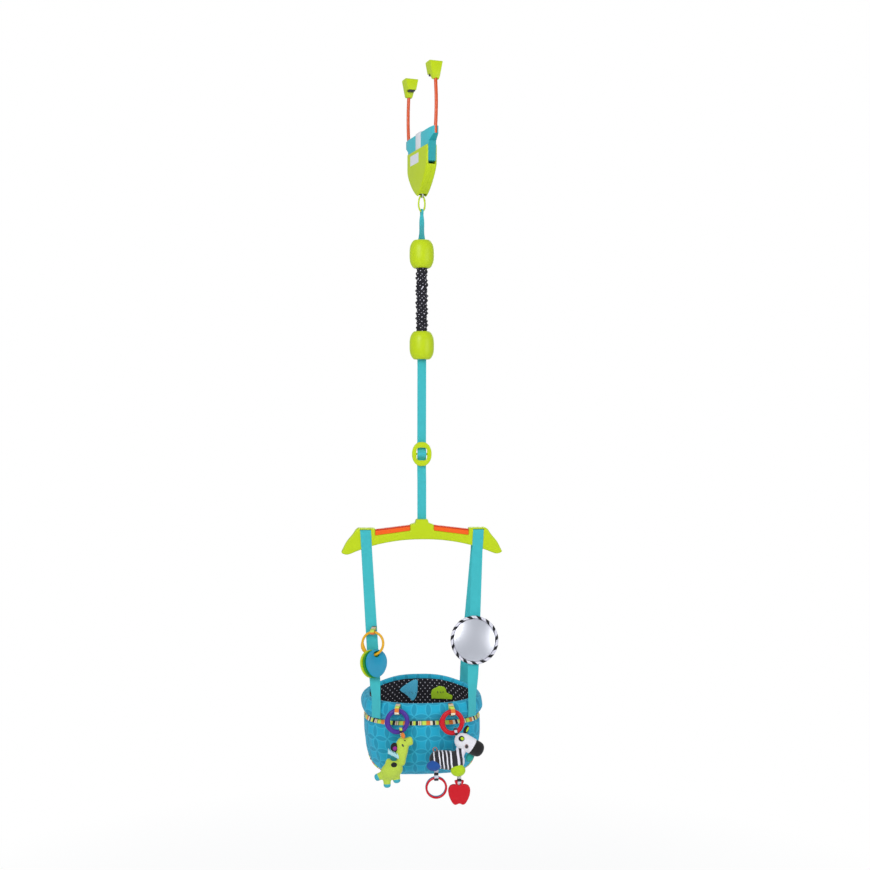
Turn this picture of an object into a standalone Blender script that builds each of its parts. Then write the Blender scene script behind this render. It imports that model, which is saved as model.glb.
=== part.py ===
# Baby doorway jumper. Metres, +Z up, front towards -Y.
# The origin is on the hanging axis, level with the top of the door trim that the claws rest on.
import math

import bmesh
import bpy
from mathutils import Matrix, Vector

# Clearances shared by all pieces
GAP = 0.0003  # between two pieces that touch
OVERRUN = 0.004  # how far a cutter runs past the face that it cuts

# Door clamp: near and far are the two sides of the wall
CLAMP_TURN_DEG = 16.5  # how far the door's wall is turned from the seat
JAW_HALF_OPENING = 0.062
CLAW_DEPTH = 0.030
CLAW_RISE = 0.029
CLAW_LIP_DROP = 0.0115
CLAW_TOP_WIDTH = 0.030
CLAW_LIP_WIDTH = 0.0135
CLAW_LIP_LENGTH = 0.013
PAD_THICKNESS = 0.003
PAD_WIDTH = 0.0145
PAD_LENGTH = 0.014
ROD_RADIUS = 0.0038
ROD_BOW = 0.004
ROD_SEAT = 0.016  # how deep each end of a rod is set
ARM_TOP_DROP = 0.113  # from the trim's top to the lever arms' top
ARM_RISE = 0.035  # how far the arms stand out of the housing
ARM_REACH = 0.089
ARM_TIP_WIDTH = 0.0110
ARM_TIP_HEIGHT = 0.0165
LEVER_WIDTH = 0.017
LEVER_BLADE_HEIGHT = 0.073
TONGUE_CLEARANCE = 0.0055
FINGER_THICKNESS = 0.0080
PIVOT_OFFSET = 0.033
PIVOT_DROP = 0.052  # from the arms' top to the pivot pins
PIN_RADIUS = 0.003
BAND_WIDTH = 0.0314
BAND_OVER_ARM = 0.0035
BAND_SEAT = 0.0030
HOUSING_WIDTH = 0.128
HOUSING_HEIGHT = 0.105
HOUSING_STRAIGHT = 0.042
HOUSING_DEPTH = 0.025
HOUSING_WALL = 0.0025
HOUSING_EDGE = 0.003
HOUSING_MOUTH_WIDTH = 0.020
HOUSING_MOUTH_DEPTH = 0.0180
YOKE_BAR_RADIUS = 0.0025
YOKE_BAR_DROP = 0.0565  # from the arms' top to the cross bar's middle
YOKE_STEM_WIDTH = 0.012
YOKE_STEM_THICKNESS = 0.0024
EYE_RADIUS = 0.0040
EYE_WALL = 0.0026
EYE_DROP = 0.137  # from the arms' top to the eye's middle

# Load ring and the strap that hangs from it
LOAD_RING_WIRE_RADIUS = 0.0019
LOAD_RING_HALF_WIDTH = 0.0075
LOAD_RING_LENGTH = 0.036
WEB_THICKNESS = 0.0013
WEB_WIDTH = 0.020
LAYER_GAP = 0.0004  # between two layers of one strap
HANGER_RING_WIDTH = 0.0052
HANGER_LENGTH = 0.091  # from the load ring's lower wire to the upper pin
HANGER_TWIST_DEG = 50.0

# Bounce spring between its two barrel caps
CAP_HEIGHT = 0.0625
CAP_RADIUS = 0.0275
CAP_NECK_RADIUS = 0.0185
CAP_WALL = 0.0028
CAP_STRAP_HOLE_RADIUS = 0.0107
SLEEVE_HOLE_RADIUS = 0.0136
CAP_PIN_DROP = 0.026  # from the outer end of a cap to its pin
SLEEVE_LENGTH = 0.1425
SLEEVE_RADIUS = 0.0118
SLEEVE_RUFFLE = 0.0013
SLEEVE_WALL = 0.0012
SLEEVE_TUCK = 0.0030
SPRING_RADIUS = 0.0088
SPRING_WIRE_RADIUS = 0.0011
SPRING_TURN_COUNT = 14
SAFETY_STRAP_WIDTH = 0.0050
SAFETY_STRAP_THICKNESS = 0.0012
PIN_FOLD_WIDTH = 0.0072  # the webbing's width where it is folded round a pin
PIN_SIDE_ROOM = 0.0006  # between the webbing and the safety strap on one pin

# Long strap and its adjuster
BUCKLE_DROP = 0.213  # from the lower cap's end to the buckle's middle
BUCKLE_WIDTH = 0.044
BUCKLE_HEIGHT = 0.0545
BUCKLE_WINDOW_WIDTH = 0.0245
BUCKLE_WINDOW_HEIGHT = 0.0285
BUCKLE_THICKNESS = 0.008
BUCKLE_BAR_RADIUS = 0.0026
BUCKLE_TO_HUB = 0.146
STRAP_TAIL = 0.040

# Spreader bar
BAR_HALF_SPAN = 0.1805
BAR_HEIGHT = 0.0775
BAR_DEPTH = 0.026
BAR_WALL = 0.0025
BAR_EDGE = 0.0025
HUB_PIN_DROP = 0.0187
HUB_PIN_HALF_LENGTH = 0.0230
HUB_SLOT_HALF_WIDTH = 0.0104
HUB_SLOT_DEPTH = 0.0050
INSERT_DEPTH = 0.020
INSERT_EDGE = 0.0020

# Side straps
SIDE_STRAP_WIDTH = 0.024
SIDE_STRAP_SHARE = 0.7036  # of the bar's half span
SIDE_STRAP_SEAT_OFFSET = 0.105
STRAP_SLOT_DROP = 0.0045  # from a shoulder's top to its strap slot
STRAP_SLOT_HEIGHT = 0.0030
STRAP_FRONT_DRAW = 0.0014  # the rim's facets bulge less in front than behind
STRAP_REAR_DRAW = 0.0005

# Seat
SEAT_HALF_WIDTH = 0.125
SEAT_HALF_DEPTH = 0.098
SEAT_BACK_SHIFT = 0.006
SEAT_TOP_DROP = 0.370  # from the shoulders' top to the front rim
SEAT_BACK_RISE = 0.018
RIM_HEIGHT = 0.041
RIM_BULGE = 0.0105
RIM_THICKNESS = 0.0080
SHELL_THICKNESS = 0.0040
SHELL_HEIGHT = 0.133
LINING_THICKNESS = 0.0012
TRIM_HEIGHT = 0.0085
TRIM_THICKNESS = 0.0016
LEG_HOLE_RADIUS = 0.043
LEG_HOLE_OFFSET = 0.094
LEG_HOLE_DROP = 0.129  # from the trim band to the middle of a leg hole
LEAF_HEIGHT = 0.048
LEAF_THICKNESS = 0.0028
LEAF_DROP = 0.024

# Mirror on the right strap
MIRROR_RADIUS = 0.053
MIRROR_DROP_SHARE = 0.662  # of the way from the shoulders' top down to the rim
MIRROR_RIM_RADIUS = 0.0037
MIRROR_FACE_THICKNESS = 0.0016
MIRROR_LOOP_HEIGHT = 0.045
MIRROR_LOOP_SLACK = 0.0008

# Link and plates on the left strap
LINK_RADIUS = 0.0245
LINK_WIRE_RADIUS = 0.0027
LINK_CLASP_RADIUS = 0.0048
LINK_DROP_SHARE = 0.6081  # of the way from the shoulders' top down to the rim
LINK_TURN_DEG = -24.0
LINK_STANDOFF = 0.0135  # from the strap's face to the link's middle
TAB_WIDTH = 0.0125
TAB_THICKNESS = 0.0010
PLATE_WIDTH = 0.050
PLATE_HEIGHT = 0.060
PLATE_THICKNESS = 0.0032
PLATE_HOLE_RADIUS = 0.0069
PLATE_HOLE_SHARES = (0.97, 0.86, 0.91)  # the outer plates lean more on the curved wire
PLATE_HOLE_DROP = 0.0105  # from a plate's top to its hole
PLATE_SPACING = 0.0068
PLATE_TURN_DEG = 22.0

# Toys on the front
TOY_RING_RADIUS = 0.0215
TOY_RING_WIRE_RADIUS = 0.0050
TOY_RING_CLASP_RADIUS = 0.0064
TOY_RING_STANDOFF = 0.0034
PURPLE_RING_OFFSET = -0.0605
RED_RING_OFFSET = 0.0580
PURPLE_RING_DROP = 0.0375  # from the rim's top to the ring's middle
RED_RING_DROP = 0.0415
TEETHER_RING_RADIUS = 0.0212
TEETHER_RING_WIRE_RADIUS = 0.0023
TEETHER_RING_SPACING = 0.0060
TEETHER_LOOP_RADIUS = 0.0066
TEETHER_RIBBON_DROP = 0.0270
TEETHER_SHIFT = 0.0045
APPLE_WIDTH = 0.048
APPLE_HEIGHT = 0.054
APPLE_THICKNESS = 0.009
APPLE_EDGE = 0.0018
APPLE_HOLE_RADIUS = 0.0042
APPLE_BRIDGE_HEIGHT = 0.0030
APPLE_LOOP_RADIUS = 0.0063
APPLE_RIBBON_DROP = 0.0200
APPLE_RIBBON_WIDTH = 0.0055
APPLE_SHIFT = 0.0055
TOY_RIBBON_WIDTH = 0.0060
TOY_HANG_DEG = -70.0
TOY_RING_TALL_SHARE = 1.07
GIRAFFE_WIDTH = 0.088
GIRAFFE_HEIGHT = 0.120
GIRAFFE_DEPTH = 0.028
ZEBRA_WIDTH = 0.120
ZEBRA_HEIGHT = 0.094
ZEBRA_DEPTH = 0.036
ZEBRA_FORWARD_SHARE = 0.22

# How wide each stuffed form is along its length, from end to end
GIRAFFE_TRUNK_SHARES = [0.80, 1.0, 1.0, 0.92, 0.80]
GIRAFFE_HEAD_SHARES = [0.72, 1.0, 0.92, 0.74, 0.80]
ZEBRA_TRUNK_SHARES = [0.85, 1.0, 1.0, 0.95, 0.75]
ZEBRA_HEAD_SHARES = [0.78, 1.0, 0.94, 0.92, 0.95]
LEG_SHARES = [1.0, 0.95, 0.90, 1.0]
PAD_SHARES = [0.85, 1.0, 0.85]

# Where limbs start and end: across and down, as shares of the toy's width and height
GIRAFFE_LEG_SHARES = [((-0.34, 0.74), (-0.66, 0.83)), ((-0.36, 0.80), (-0.34, 1.0)), ((-0.10, 0.72), (-0.14, 0.92))]
ZEBRA_LEG_SHARES = [((-0.34, 0.60), (-0.40, 0.76)), ((0.02, 0.68), (0.02, 0.88))]
ZEBRA_PAD_SHARES = [(-0.39, 0.72), (0.015, 0.87)]
ZEBRA_EAR_SHARES = [((0.10, 0.10), (0.19, -0.10)), ((0.03, 0.15), (0.14, 0.20))]

# Right half of the apple from its top to its foot: shares of its half width and of its height
APPLE_SHARES = [(0.15, 0.0), (0.42, 0.03), (0.36, 0.14), (0.22, 0.20), (0.50, 0.17), (0.82, 0.22), (0.98, 0.36),
                (1.0, 0.52), (0.92, 0.72), (0.76, 0.90), (0.58, 1.0), (0.34, 1.0), (0.14, 0.965)]

# Places, worked out from the sizes above
SIDE_STRAP_OFFSET = BAR_HALF_SPAN * SIDE_STRAP_SHARE
MIRROR_DROP = SEAT_TOP_DROP * MIRROR_DROP_SHARE
LINK_DROP = SEAT_TOP_DROP * LINK_DROP_SHARE
ARM_TOP = -ARM_TOP_DROP
HOUSING_TOP = ARM_TOP - ARM_RISE
PIVOT_Z = ARM_TOP - PIVOT_DROP
YOKE_BAR_Z = ARM_TOP - YOKE_BAR_DROP
EYE_Z = ARM_TOP - EYE_DROP
RING_TOP_Z = EYE_Z - EYE_RADIUS + LOAD_RING_WIRE_RADIUS + GAP * 4
RING_BOTTOM_Z = RING_TOP_Z - LOAD_RING_LENGTH
UPPER_PIN_Z = RING_BOTTOM_Z - HANGER_LENGTH
UPPER_CAP_TOP = UPPER_PIN_Z + CAP_PIN_DROP
UPPER_CAP_BOTTOM = UPPER_CAP_TOP - CAP_HEIGHT
LOWER_CAP_TOP = UPPER_CAP_BOTTOM - SLEEVE_LENGTH
LOWER_CAP_BOTTOM = LOWER_CAP_TOP - CAP_HEIGHT
LOWER_PIN_Z = LOWER_CAP_BOTTOM + CAP_PIN_DROP
BUCKLE_Z = LOWER_CAP_BOTTOM - BUCKLE_DROP
HUB_TOP = BUCKLE_Z - BUCKLE_TO_HUB
HUB_PIN_Z = HUB_TOP - HUB_PIN_DROP
SHOULDER_TOP = HUB_TOP - BAR_HEIGHT * 0.245
STRAP_SLOT_Z = SHOULDER_TOP - STRAP_SLOT_DROP
RIM_TOP = SHOULDER_TOP - SEAT_TOP_DROP
RIM_BOTTOM = RIM_TOP - RIM_HEIGHT
SHELL_TOP = RIM_BOTTOM - GAP
SHELL_BOTTOM = SHELL_TOP - SHELL_HEIGHT
LEG_HOLE_Z = SHELL_TOP - LEG_HOLE_DROP


# Materials

def colour(hex_text):
    """An sRGB hex colour as linear values."""
    channels = [int(hex_text[i:i + 2], 16) / 255 for i in (0, 2, 4)]
    linear = [c / 12.92 if c <= 0.04045 else ((c + 0.055) / 1.055) ** 2.4 for c in channels]
    return (*linear, 1.0)


def make_material(name, hex_text, roughness, metallic=0.0):
    material = bpy.data.materials.new(name)
    material.use_nodes = True
    shader = material.node_tree.nodes["Principled BSDF"]
    shader.inputs["Base Color"].default_value = colour(hex_text)
    shader.inputs["Roughness"].default_value = roughness
    shader.inputs["Metallic"].default_value = metallic
    material.diffuse_color = colour(hex_text)
    return material


# Scene helpers

def clear_scene():
    for item in list(bpy.data.objects):
        bpy.data.objects.remove(item, do_unlink=True)


def make_empty(name, place, parent=None):
    """An empty on a joint's axis. Its pieces hang from it."""
    empty = bpy.data.objects.new(name, None)
    bpy.context.scene.collection.objects.link(empty)
    empty.matrix_world = Matrix.Translation(place)
    if parent is not None:
        bpy.context.view_layer.update()
        world = empty.matrix_world.copy()
        empty.parent = parent
        empty.matrix_world = world
    bpy.context.view_layer.update()
    return empty


def add_piece(name, points, faces, material, carrier=None, frame=None):
    """A closed mesh from points given in the clamp's frame or in the world, hung from its carrier."""
    mesh = bpy.data.meshes.new(name)
    mesh.from_pydata([tuple(p) for p in points], [], faces)
    shape = bmesh.new()
    shape.from_mesh(mesh)
    bmesh.ops.recalc_face_normals(shape, faces=shape.faces)
    shape.to_mesh(mesh)
    shape.free()
    if frame is not None:
        mesh.transform(frame)
    piece = bpy.data.objects.new(name, mesh)
    bpy.context.scene.collection.objects.link(piece)
    if carrier is not None:
        mesh.transform(carrier.matrix_world.inverted())
        piece.parent = carrier
    if material is not None:
        mesh.materials.append(material)
    mesh.shade_smooth()
    mesh.set_sharp_from_angle(angle=math.radians(40))
    bpy.context.view_layer.update()
    return piece


def combine(target, tool, operation):
    """Cuts the tool from the target, or joins it, and hides the tool."""
    modifier = target.modifiers.new(operation.title(), "BOOLEAN")
    modifier.operation = operation
    modifier.solver = "EXACT"
    modifier.object = tool
    tool.hide_render = True
    tool.display_type = "WIRE"


def cut(target, tool):
    combine(target, tool, "DIFFERENCE")


def join(target, tool):
    combine(target, tool, "UNION")


# Shape helpers. Each gives a list of points and a list of faces.

def skin(rings, ends="caps"):
    """A skin over rings of equal counts. Its ends are capped, or the last ring meets the first."""
    count = len(rings[0])
    points = [p for ring in rings for p in ring]
    faces = []
    spans = len(rings) if ends == "closed" else len(rings) - 1
    for i in range(spans):
        a, b = i * count, ((i + 1) % len(rings)) * count
        for j in range(count):
            k = (j + 1) % count
            faces.append((a + j, a + k, b + k, b + j))
    if ends == "caps":
        faces.append(tuple(range(count)))
        faces.append(tuple(reversed(range(len(points) - count, len(points)))))
    return points, faces


def box(low, high):
    rings = []
    for z in (low[2], high[2]):
        rings.append([Vector((low[0], low[1], z)), Vector((high[0], low[1], z)),
                      Vector((high[0], high[1], z)), Vector((low[0], high[1], z))])
    return skin(rings)


def rod(start, end, radius, sides=16):
    """A straight round bar from start to end."""
    start, end = Vector(start), Vector(end)
    along = (end - start).normalized()
    across = along.orthogonal().normalized()
    other = along.cross(across)
    rings = []
    for place in (start, end):
        ring = []
        for j in range(sides):
            angle = math.tau * j / sides
            ring.append(place + radius * (math.cos(angle) * across + math.sin(angle) * other))
        rings.append(ring)
    return skin(rings)


def round_tube(path, radii, sides=8, closed=False, normal=None):
    """A tube along a path in one plane or nearly so, with a radius at each point."""
    rings = []
    count = len(path)
    for i, place in enumerate(path):
        if closed:
            along = path[(i + 1) % count] - path[i - 1]
        else:
            along = path[min(i + 1, count - 1)] - path[max(i - 1, 0)]
        along = along.normalized()
        side = (normal - along * along.dot(normal)).normalized()
        other = along.cross(side)
        ring = []
        for j in range(sides):
            angle = math.tau * (j + 0.5) / sides
            ring.append(place + radii[i] * (math.cos(angle) * side + math.sin(angle) * other))
        rings.append(ring)
    return skin(rings, "closed" if closed else "caps")


def flat_faces(points, faces):
    """The faces with each twisted quad split in two, so that no face is bent.

    Every split rises to the right, so that both sides of a twisted strap bend the same way.
    """
    flat = []
    for face in faces:
        corners = [points[i] for i in face[:4]]
        start = corners[0]
        normal = (corners[1] - start).cross(corners[2] - start).normalized()
        if len(face) > 4 or abs(normal.dot(corners[3] - start)) < GAP / 100:
            flat.append(face)
            continue
        split = corners[2] - start
        first = 0 if split.x * split.z > 0 else 1
        a, b, c, d = (face[(first + i) % 4] for i in range(4))
        flat += [(a, b, c), (a, c, d)]
    return flat


def band(path, across, half_widths, thickness, closed=False):
    """A flat strap along a path. Across is the direction of its width at each point."""
    rings = []
    count = len(path)
    for i, place in enumerate(path):
        if closed:
            along = path[(i + 1) % count] - path[i - 1]
        else:
            along = path[min(i + 1, count - 1)] - path[max(i - 1, 0)]
        side = across[i]
        normal = along.cross(side).normalized()
        half, skin_half = half_widths[i] * side, normal * thickness / 2
        rings.append([place - half - skin_half, place + half - skin_half,
                      place + half + skin_half, place - half + skin_half])
    points, faces = skin(rings, "closed" if closed else "caps")
    return points, flat_faces(points, faces)


def arc(centre, radius, start_deg, end_deg, steps):
    """Points on an arc in a plane, as pairs."""
    points = []
    for i in range(steps + 1):
        angle = math.radians(start_deg + (end_deg - start_deg) * i / steps)
        points.append((centre[0] + radius * math.cos(angle), centre[1] + radius * math.sin(angle)))
    return points


def inset(outline, distance):
    """A closed outline, counterclockwise, moved inwards by a distance."""
    moved = []
    count = len(outline)
    for i in range(count):
        before, here, after = (Vector(outline[(i + step) % count]) for step in (-1, 0, 1))
        first, second = (here - before).normalized(), (after - here).normalized()
        first_in, second_in = Vector((-first.y, first.x)), Vector((-second.y, second.x))
        middle = (first_in + second_in).normalized()
        reach = distance / max(middle.dot(first_in), 0.5)
        moved.append(tuple(here + middle * reach))
    return moved


def dish(outline, inner, depth, wall, edge, place):
    """Half a casing: open on its split face, with a rounded far edge. Place maps (a, b, depth) to space."""
    small = inset(outline, edge)
    levels = [(inner, GAP / 2), (outline, GAP / 2), (outline, depth - edge), (small, depth)]
    rings = [[place(a, b, d) for a, b in shape] for shape, d in levels]
    hollow = [place(a, b, depth - wall) for a, b in inner]
    return skin([hollow] + rings)


def lathe(section, start_deg, end_deg, steps, centre=(0.0, 0.0)):
    """A closed (radius, height) section turned through part of a circle about the vertical."""
    rings = []
    for i in range(steps + 1):
        angle = math.radians(start_deg + (end_deg - start_deg) * i / steps)
        c, s = math.cos(angle), math.sin(angle)
        rings.append([Vector((centre[0] + r * c, centre[1] + r * s, z)) for r, z in section])
    return skin(rings)


def limb(spine, half_widths, half_depths, sides=10, front=Vector((0, -1, 0))):
    """A stuffed limb: oval rings along a spine that ends in rounded tips."""
    rings = []
    count = len(spine)
    for i, place in enumerate(spine):
        along = (spine[min(i + 1, count - 1)] - spine[max(i - 1, 0)]).normalized()
        deep = (front - along * along.dot(front)).normalized()
        wide = along.cross(deep)
        ring = []
        for j in range(sides):
            angle = math.tau * j / sides
            ring.append(place + half_widths[i] * math.cos(angle) * wide + half_depths[i] * math.sin(angle) * deep)
        rings.append(ring)
    return skin(rings)


def swell(length, width_shares, steps):
    """Distances along a stuffed form and the widths there, with rounded ends, from a few shares."""
    stations = []
    for i in range(steps + 1):
        t = i / steps
        share = t * (len(width_shares) - 1)
        low = min(int(share), len(width_shares) - 2)
        blend = share - low
        width = width_shares[low] * (1 - blend) + width_shares[low + 1] * blend
        stations.append((length * (1 - math.cos(math.pi * t)) / 2, width))
    return stations


# Door clamp. Its own frame has X along the wall and Y through it, near side at -Y.

CLAMP = Matrix.Rotation(math.radians(CLAMP_TURN_DEG), 4, "Z")


def claw_outline():
    """Side view of a claw: distance from its wall end, and height."""
    sole = PAD_THICKNESS + GAP
    lip_start = CLAW_DEPTH - CLAW_LIP_LENGTH
    lip_radius = CLAW_LIP_LENGTH * 0.42
    nose = CLAW_DEPTH * 0.12
    points = [(0, sole), (lip_start - lip_radius * 0.4, sole)]
    points += arc((lip_start + lip_radius, -CLAW_LIP_DROP + lip_radius), lip_radius, 180, 270, 3)
    points += arc((CLAW_DEPTH - lip_radius, -CLAW_LIP_DROP + lip_radius), lip_radius, -90, 0, 3)
    points += [(CLAW_DEPTH, CLAW_RISE - nose)]
    points += arc((CLAW_DEPTH - nose, CLAW_RISE - nose), nose, 30, 90, 2)
    points += arc((nose, CLAW_RISE - nose), nose, 90, 180, 3)
    return points


def claw_half_width(z):
    share = (z + CLAW_LIP_DROP) / (CLAW_RISE + CLAW_LIP_DROP)
    return (CLAW_LIP_WIDTH + (CLAW_TOP_WIDTH - CLAW_LIP_WIDTH) * share) / 2


def add_clamp_arm(side_name, sign, arm, rod_material, lime, teal, rubber):
    """One arm of the clamp. Sign is -1 on the near side and 1 on the far side."""
    rings = []
    for half in (-1, 1):
        rings.append([Vector((half * claw_half_width(z), sign * (JAW_HALF_OPENING + n), z))
                      for n, z in claw_outline()])
    claw = add_piece("claw_" + side_name, *skin(rings), lime, arm, CLAMP)
    pad_start = JAW_HALF_OPENING
    pad = box((-PAD_WIDTH / 2, min(sign * pad_start, sign * (pad_start + PAD_LENGTH)), 0),
              (PAD_WIDTH / 2, max(sign * pad_start, sign * (pad_start + PAD_LENGTH)), PAD_THICKNESS))
    add_piece("grip_pad_" + side_name, *pad, rubber, arm, CLAMP)

    rod_offset = ARM_REACH - ARM_TIP_WIDTH / 4
    low = ARM_TOP - ROD_SEAT + GAP
    high = -CLAW_LIP_DROP + ROD_SEAT - GAP
    path = []
    for i in range(13):
        z = low + (high - low) * i / 12
        bow = math.sin(math.pi * min(max((z - ARM_TOP) / (-CLAW_LIP_DROP - ARM_TOP), 0), 1))
        path.append(Vector((0, sign * (rod_offset + ROD_BOW * bow), z)))
    steel = round_tube(path, [ROD_RADIUS] * len(path), 10, normal=Vector((1, 0, 0)))
    add_piece("arm_rod_" + side_name, *steel, rod_material, arm, CLAMP)
    bore = ROD_RADIUS + 2 * GAP
    claw_bore = add_piece("claw_bore_" + side_name,
                          *rod((0, sign * rod_offset, -CLAW_LIP_DROP - OVERRUN),
                               (0, sign * rod_offset, -CLAW_LIP_DROP + ROD_SEAT), bore, 14), None, None, CLAMP)
    cut(claw, claw_bore)

    finger_top = YOKE_BAR_Z - YOKE_BAR_RADIUS - GAP
    finger_inner = YOKE_STEM_THICKNESS / 2 + 2 * GAP
    full = LEVER_WIDTH / 2
    blade_end = HOUSING_WIDTH / 2 + GAP * 3
    band_side = BAND_WIDTH / 2 + GAP
    blade_bottom = ARM_TOP - LEVER_BLADE_HEIGHT
    stations = [
        (-YOKE_BAR_RADIUS, finger_inner, full - GAP, finger_top - FINGER_THICKNESS * 0.7, finger_top),
        (band_side, finger_inner, full - GAP, finger_top - FINGER_THICKNESS, finger_top),
        (band_side, -full, full, blade_bottom + TONGUE_CLEARANCE / 2, ARM_TOP),
        (PIVOT_OFFSET + PIN_RADIUS * 3, -full, full, blade_bottom, ARM_TOP),
        (blade_end, -full, full, blade_bottom + TONGUE_CLEARANCE / 3, ARM_TOP),
        (blade_end + TONGUE_CLEARANCE / 2, -full, full, ARM_TOP - ARM_TIP_HEIGHT * 1.7, ARM_TOP),
        (ARM_REACH, -ARM_TIP_WIDTH / 2, ARM_TIP_WIDTH / 2, ARM_TOP - ARM_TIP_HEIGHT, ARM_TOP),
    ]
    rings = []
    for n, inner, outer, bottom, top in stations:
        a, b = (inner, outer) if sign < 0 else (-outer, -inner)
        rings.append([Vector((a, sign * n, bottom)), Vector((b, sign * n, bottom)),
                      Vector((b, sign * n, top)), Vector((a, sign * n, top))])
    lever = add_piece("arm_lever_" + side_name, *skin(rings), teal, arm, CLAMP)
    pivot_hole = add_piece("pivot_hole_" + side_name,
                           *rod((-full - OVERRUN, sign * PIVOT_OFFSET, PIVOT_Z),
                                (full + OVERRUN, sign * PIVOT_OFFSET, PIVOT_Z),
                                PIN_RADIUS + 2 * GAP), None, None, CLAMP)
    cut(lever, pivot_hole)
    socket = add_piece("rod_socket_" + side_name,
                       *rod((0, sign * rod_offset, ARM_TOP - ROD_SEAT),
                            (0, sign * rod_offset, ARM_TOP + OVERRUN), bore, 14), None, None, CLAMP)
    cut(lever, socket)


def housing_outline():
    """Front view of the housing, counterclockwise, straight at the top and rounded below."""
    half = HOUSING_WIDTH / 2
    straight_end = HOUSING_TOP - HOUSING_STRAIGHT
    drop = HOUSING_HEIGHT - HOUSING_STRAIGHT
    right = []
    for i in range(9):
        angle = math.pi / 2 * i / 8
        right.append((half * math.cos(angle) ** (2 / 1.3), straight_end - drop * math.sin(angle) ** (2 / 1.35)))
    right = right[:-1]
    left = [(-a, b) for a, b in right]
    return [(-half, HOUSING_TOP)] + left + [(0.0, straight_end - drop)] + right[::-1] + [(half, HOUSING_TOP)]


def add_clamp_housing(root, lime, white, steel):
    outline = housing_outline()
    inner = inset(outline, HOUSING_WALL)
    half_depth = HOUSING_DEPTH / 2
    throat = half_depth - HOUSING_WALL - GAP
    lever_room = LEVER_WIDTH / 2 + GAP
    top_cut = box((-throat, -HOUSING_WIDTH, HOUSING_TOP - HOUSING_WALL * 2),
                  (throat, HOUSING_WIDTH, HOUSING_TOP + OVERRUN))
    side_low = ARM_TOP - LEVER_BLADE_HEIGHT - TONGUE_CLEARANCE
    mouth = box((-HOUSING_MOUTH_DEPTH / 2, -HOUSING_MOUTH_WIDTH / 2, HOUSING_TOP - HOUSING_HEIGHT - OVERRUN),
                (HOUSING_MOUTH_DEPTH / 2, HOUSING_MOUTH_WIDTH / 2,
                 HOUSING_TOP - HOUSING_HEIGHT + HOUSING_WALL + OVERRUN * 3))
    cutters = [add_piece("housing_top_cut", *top_cut, None, None, CLAMP),
               add_piece("housing_mouth_cut", *mouth, None, None, CLAMP)]
    for sign, side_name in ((-1, "near"), (1, "far")):
        inner_side = sign * (HOUSING_WIDTH / 2 - HOUSING_WALL * 2)
        outer_side = sign * (HOUSING_WIDTH / 2 + OVERRUN)
        notch = box((-lever_room, min(inner_side, outer_side), side_low),
                    (lever_room, max(inner_side, outer_side), HOUSING_TOP + OVERRUN))
        cutters.append(add_piece("housing_notch_" + side_name, *notch, None, None, CLAMP))
    for sign, name in ((-1, "clamp_housing_left"), (1, "clamp_housing_right")):
        def place(a, b, d, sign=sign):
            return Vector((sign * d, a, b))
        shell = dish(outline, inner, half_depth, HOUSING_WALL, HOUSING_EDGE, place)
        piece = add_piece(name, *shell, lime, root, CLAMP)
        for cutter in cutters:
            cut(piece, cutter)
    band_half = BAND_WIDTH / 2
    low = HOUSING_TOP - BAND_SEAT
    high = ARM_TOP + BAND_OVER_ARM
    chamfer = BAND_OVER_ARM / 2
    rings = []
    for shrink, z in ((0, low), (0, high - chamfer), (chamfer, high)):
        a, b = throat - GAP - shrink, band_half - shrink
        rings.append([Vector((-a, -b, z)), Vector((a, -b, z)), Vector((a, b, z)), Vector((-a, b, z))])
    add_piece("clamp_band", *skin(rings), white, root, CLAMP)
    reach = half_depth - HOUSING_WALL - GAP
    for sign, side_name in ((-1, "near"), (1, "far")):
        pin = rod((-reach, sign * PIVOT_OFFSET, PIVOT_Z), (reach, sign * PIVOT_OFFSET, PIVOT_Z), PIN_RADIUS)
        add_piece("lever_pin_" + side_name, *pin, steel, root, CLAMP)


def add_pull_yoke(yoke, steel):
    """A tee: its bar lies on the levers' fingers, its stem carries the load ring."""
    half = YOKE_STEM_THICKNESS / 2
    reach = LEVER_WIDTH / 2 - GAP
    eye_half = EYE_RADIUS + EYE_WALL
    outline = [(-YOKE_STEM_WIDTH / 2, YOKE_BAR_Z), (-YOKE_STEM_WIDTH / 2, EYE_Z + eye_half)]
    outline += arc((0.0, EYE_Z), eye_half, 180, 360, 8)
    outline += [(YOKE_STEM_WIDTH / 2, EYE_Z + eye_half), (YOKE_STEM_WIDTH / 2, YOKE_BAR_Z)]
    rings = [[Vector((side, a, b)) for a, b in outline] for side in (-half, half)]
    stem = add_piece("pull_yoke", *skin(rings), steel, yoke, CLAMP)
    bar = rod((-reach, 0, YOKE_BAR_Z), (reach, 0, YOKE_BAR_Z), YOKE_BAR_RADIUS, 12)
    join(stem, add_piece("yoke_bar", *bar, None, None, CLAMP))
    eye = rod((-OVERRUN, 0, EYE_Z), (OVERRUN, 0, EYE_Z), EYE_RADIUS, 12)
    cut(stem, add_piece("yoke_eye", *eye, None, None, CLAMP))


def add_load_ring(body, lime):
    """A drop-shaped ring, wider below, in the plane along the wall."""
    path = []
    half_length = LOAD_RING_LENGTH / 2
    steps = 18
    for i in range(steps):
        angle = math.tau * i / steps
        width = LOAD_RING_HALF_WIDTH * (1 - 0.08 * math.cos(angle))
        path.append(Vector((width * math.sin(angle), 0, RING_TOP_Z - half_length * (1 - math.cos(angle)))))
    ring = round_tube(path, [LOAD_RING_WIRE_RADIUS] * len(path), 6, True, Vector((0, 1, 0)))
    add_piece("load_ring", *ring, lime, body, CLAMP)


# Straps

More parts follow.
